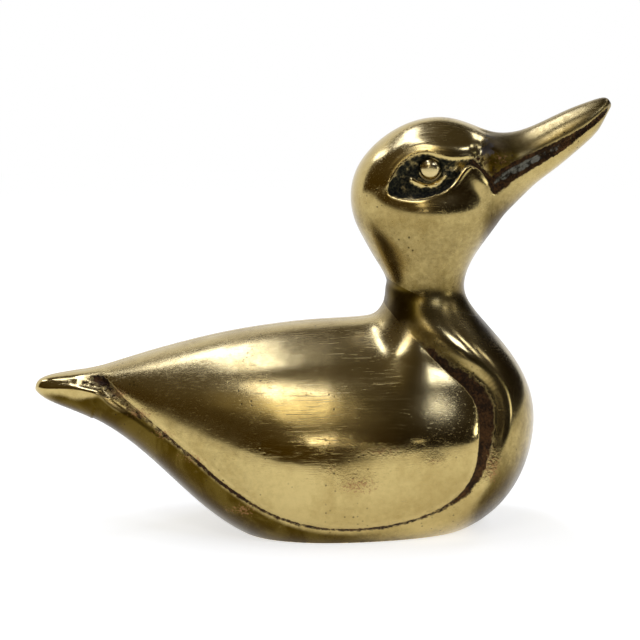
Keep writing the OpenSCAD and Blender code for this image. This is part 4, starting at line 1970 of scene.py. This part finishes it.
@dataclass(frozen=True)
class Studio:
    """White table, pale backdrop, dark room and soft lamps."""

    floor_size: float = 40.0
    camera_distance: float = 0.65
    camera_height: float = 0.0537
    elevation: float = 10.0
    lens: float = 139.7
    aim: tuple[float, float, float] = (0.0, 0.0, 0.05)
    lamps: tuple[SoftBox, ...] = (
        SoftBox("overhead", -129.6, 70.0, 1.0, (0.15, 0.86), 6.0, (0.88, 0.97, 1.42), -47.0),
        SoftBox("overhead low", -137.0, 54.5, 1.0, (0.20, 0.17), 4.5, (0.88, 0.97, 1.42), -30.0),
        SoftBox("front", -18.0, 52.5, 1.1, (0.38, 0.14), 5.5, (0.95, 1.0, 1.30), -45.0),
        SoftBox("front fall", -7.5, 35.5, 1.1, (0.11, 0.33), 2.2, (1.0, 0.95, 0.85), -6.0),
        SoftBox("front haze", -12.5, 40.0, 1.12, (0.26, 0.24), 1.1, (1.0, 0.93, 0.75)),
        SoftBox("front glow", -20.0, 38.0, 1.15, (0.60, 0.40), 0.16, (1.0, 0.86, 0.55)),
        SoftBox("right", 42.0, 41.2, 1.2, (0.34, 0.21), 5.2, (0.88, 0.98, 1.45), -12.0),
        SoftBox("far right", 75.0, 42.0, 1.2, (0.12, 0.26), 4.5, (0.92, 0.98, 1.3)),
        SoftBox("far right low", 97.0, 33.0, 1.2, (0.12, 0.16), 4.0, (0.95, 0.98, 1.2)),
        SoftBox("right low", 75.0, 10.5, 0.9, (0.20, 0.13), 5.0, (0.95, 1.0, 1.1)),
        SoftBox("back", 132.0, 44.0, 1.2, (0.34, 0.24), 4.5, (0.92, 0.98, 1.3)),
        SoftBox("left", -130.0, 38.0, 1.1, (0.14, 0.20), 5.0, (0.92, 0.98, 1.3)),
        SoftBox("low", -4.5, 15.5, 0.9, (0.045, 0.06), 9.0, (1.0, 0.98, 1.0)),
        SoftBox("low right", 20.0, 13.0, 0.9, (0.08, 0.025), 3.0, (1.0, 0.98, 0.95)),
    )

    def floor_material(self) -> Material:
        """Make white card that keeps the shadow close to the duck.

        Returns:
            The material, which goes over into plain white further out.
        """
        material, graph = start_material("white card")
        place = graph.place()
        reach = graph.get("ShaderNodeVectorMath", {0: place}, "Value", operation="LENGTH")
        fibre = graph.band(graph.noise(place, 900.0, 3.0), 0.3, 0.7)
        tone = graph.blend(fibre, (0.80, 0.79, 0.66, 1.0), (0.84, 0.83, 0.70, 1.0))
        diffuse = graph.get("ShaderNodeBsdfDiffuse", {"Color": tone})
        seen = graph.rays("Camera", "Glossy", "Transmission")
        glow = graph.get("ShaderNodeEmission", {"Color": WHITE, "Strength": seen * 0.68})
        near = graph.get("ShaderNodeAddShader", {0: diffuse, 1: glow})
        far = graph.get("ShaderNodeEmission", {"Color": WHITE, "Strength": seen})
        both = graph.get("ShaderNodeMixShader", {0: graph.band(reach, 0.16, 0.8), 1: near, 2: far})
        graph.add("ShaderNodeOutputMaterial", {"Surface": both})
        return material

    def build_floor(self) -> None:
        """Lay the table."""
        half = self.floor_size / 2
        corners = [(-half, -half, 0), (half, -half, 0), (half, half, 0), (-half, half, 0)]
        mesh = bpy.data.meshes.new("table")
        mesh.from_pydata(corners, [], [(0, 1, 2, 3)])
        mesh.materials.append(self.floor_material())
        new_object("table", mesh)

    def build_world(self) -> None:
        """Make the room: pale at the horizon and behind, dark above and in front.

        Camera and transmission rays see plain white, and glossy rays see the
        dark room with its pale bands, which is what the real brass mirrors.
        """
        world = bpy.data.worlds.new("room")
        bpy.context.scene.world = world
        world.use_nodes = True
        graph = Graph(world.node_tree)
        direction = graph.get("ShaderNodeTexCoord", {}, "Generated")
        parts = graph.add("ShaderNodeSeparateXYZ", {0: direction})
        x, y, z = (Value(graph, socket) for socket in parts.outputs)
        round_back = graph.band(graph.total(y * 0.94, (x, -0.34)), 0.62, 0.74)
        above = graph.band(z - graph.total(0.012, (round_back, 0.60)), 0.0, 0.02)
        side = graph.band(x, -0.12, 0.22)
        low = graph.blend(side, (0.066, 0.040, 0.004, 1.0), (0.014, 0.009, 0.004, 1.0))
        high = graph.blend(side, (0.10, 0.078, 0.042, 1.0), (0.065, 0.052, 0.030, 1.0))
        room = graph.blend(above, WHITE, graph.blend(graph.band(z, 0.1, 1.0), low, high))
        colour = graph.blend(graph.rays("Camera", "Transmission"), room, WHITE)
        back = graph.get("ShaderNodeBackground", {"Color": colour, "Strength": 1.0})
        graph.add("ShaderNodeOutputWorld", {"Surface": back})

    def build_camera(self) -> None:
        """Set the camera at the photograph's angle."""
        data = bpy.data.cameras.new("view")
        data.lens = self.lens
        data.sensor_width = 36.0
        data.clip_end = 100.0
        camera = new_object("view", data)
        tilt = math.radians(self.elevation)
        back, up = self.camera_distance * math.cos(tilt), self.camera_distance * math.sin(tilt)
        camera.location = (0.0, -back, self.camera_height + up)
        camera.rotation_euler = (math.pi / 2 - tilt, 0.0, 0.0)
        bpy.context.scene.camera = camera

    def build(self) -> None:
        """Set up the whole studio."""
        self.build_floor()
        self.build_world()
        for lamp in self.lamps:
            lamp.hang(self.aim)
        self.build_camera()
        bpy.context.scene.view_settings.view_transform = "Standard"


def report(pieces: list[Piece]) -> None:
    """Log the size of each piece."""
    for piece in pieces:
        LOG.info("%s: %d points, %d faces", piece.name, len(piece.data.vertices), len(piece.data.polygons))


def main() -> None:
    """Build the duck and its studio in order."""
    logging.basicConfig(level=logging.INFO, format="%(message)s")
    Studio().build()
    wear = Wear.build()
    cast = RoughMetal(
        name=Skin.AS_CAST.value,
        light=(0.30, 0.21, 0.085, 1.0),
        dark=(0.10, 0.065, 0.025, 1.0),
        scale=900.0,
        relief=0.0005,
        base_roughness=0.55,
    )
    filed = RoughMetal(
        name=Skin.FILED.value,
        light=(0.50, 0.39, 0.17, 1.0),
        dark=(0.33, 0.24, 0.09, 1.0),
        scale=1400.0,
        relief=0.00012,
        base_roughness=0.36,
    )
    seam = RoughMetal(
        name=Skin.SEAM.value,
        light=(0.030, 0.018, 0.008, 1.0),
        dark=(0.006, 0.004, 0.002, 1.0),
        scale=1200.0,
        relief=0.0002,
        base_roughness=0.70,
    )
    zinc = RoughMetal(
        name="zinc plated steel",
        light=(0.50, 0.50, 0.49, 1.0),
        dark=(0.32, 0.32, 0.31, 1.0),
        scale=800.0,
        relief=0.00008,
        base_roughness=0.34,
    )
    bead = PolishedBrass("bead brass", (0.62, 0.50, 0.24, 1.0), (0.48, 0.36, 0.14, 1.0), smoothness=0.20)
    finishes = {
        Skin.POLISHED: PolishedBrass(Skin.POLISHED.value).build(wear),
        Skin.AS_CAST: cast.build(wear),
        Skin.FILED: filed.build(wear),
        Skin.SEAM: seam.build(wear),
    }
    neck = NeckJoint()
    for node, left in (("body_left", True), ("body_right", False)):
        report([BodyCasting(node, left, finishes, neck).build()])
    eyes = EyePair(bead.build(wear))
    head = HeadCasting(finishes, neck, eyes)
    report([head.build(), head.build_bill()])
    report(eyes.build())
    report(NeckFixing(zinc.build(wear), neck).build())


if __name__ == "__main__":
    main()
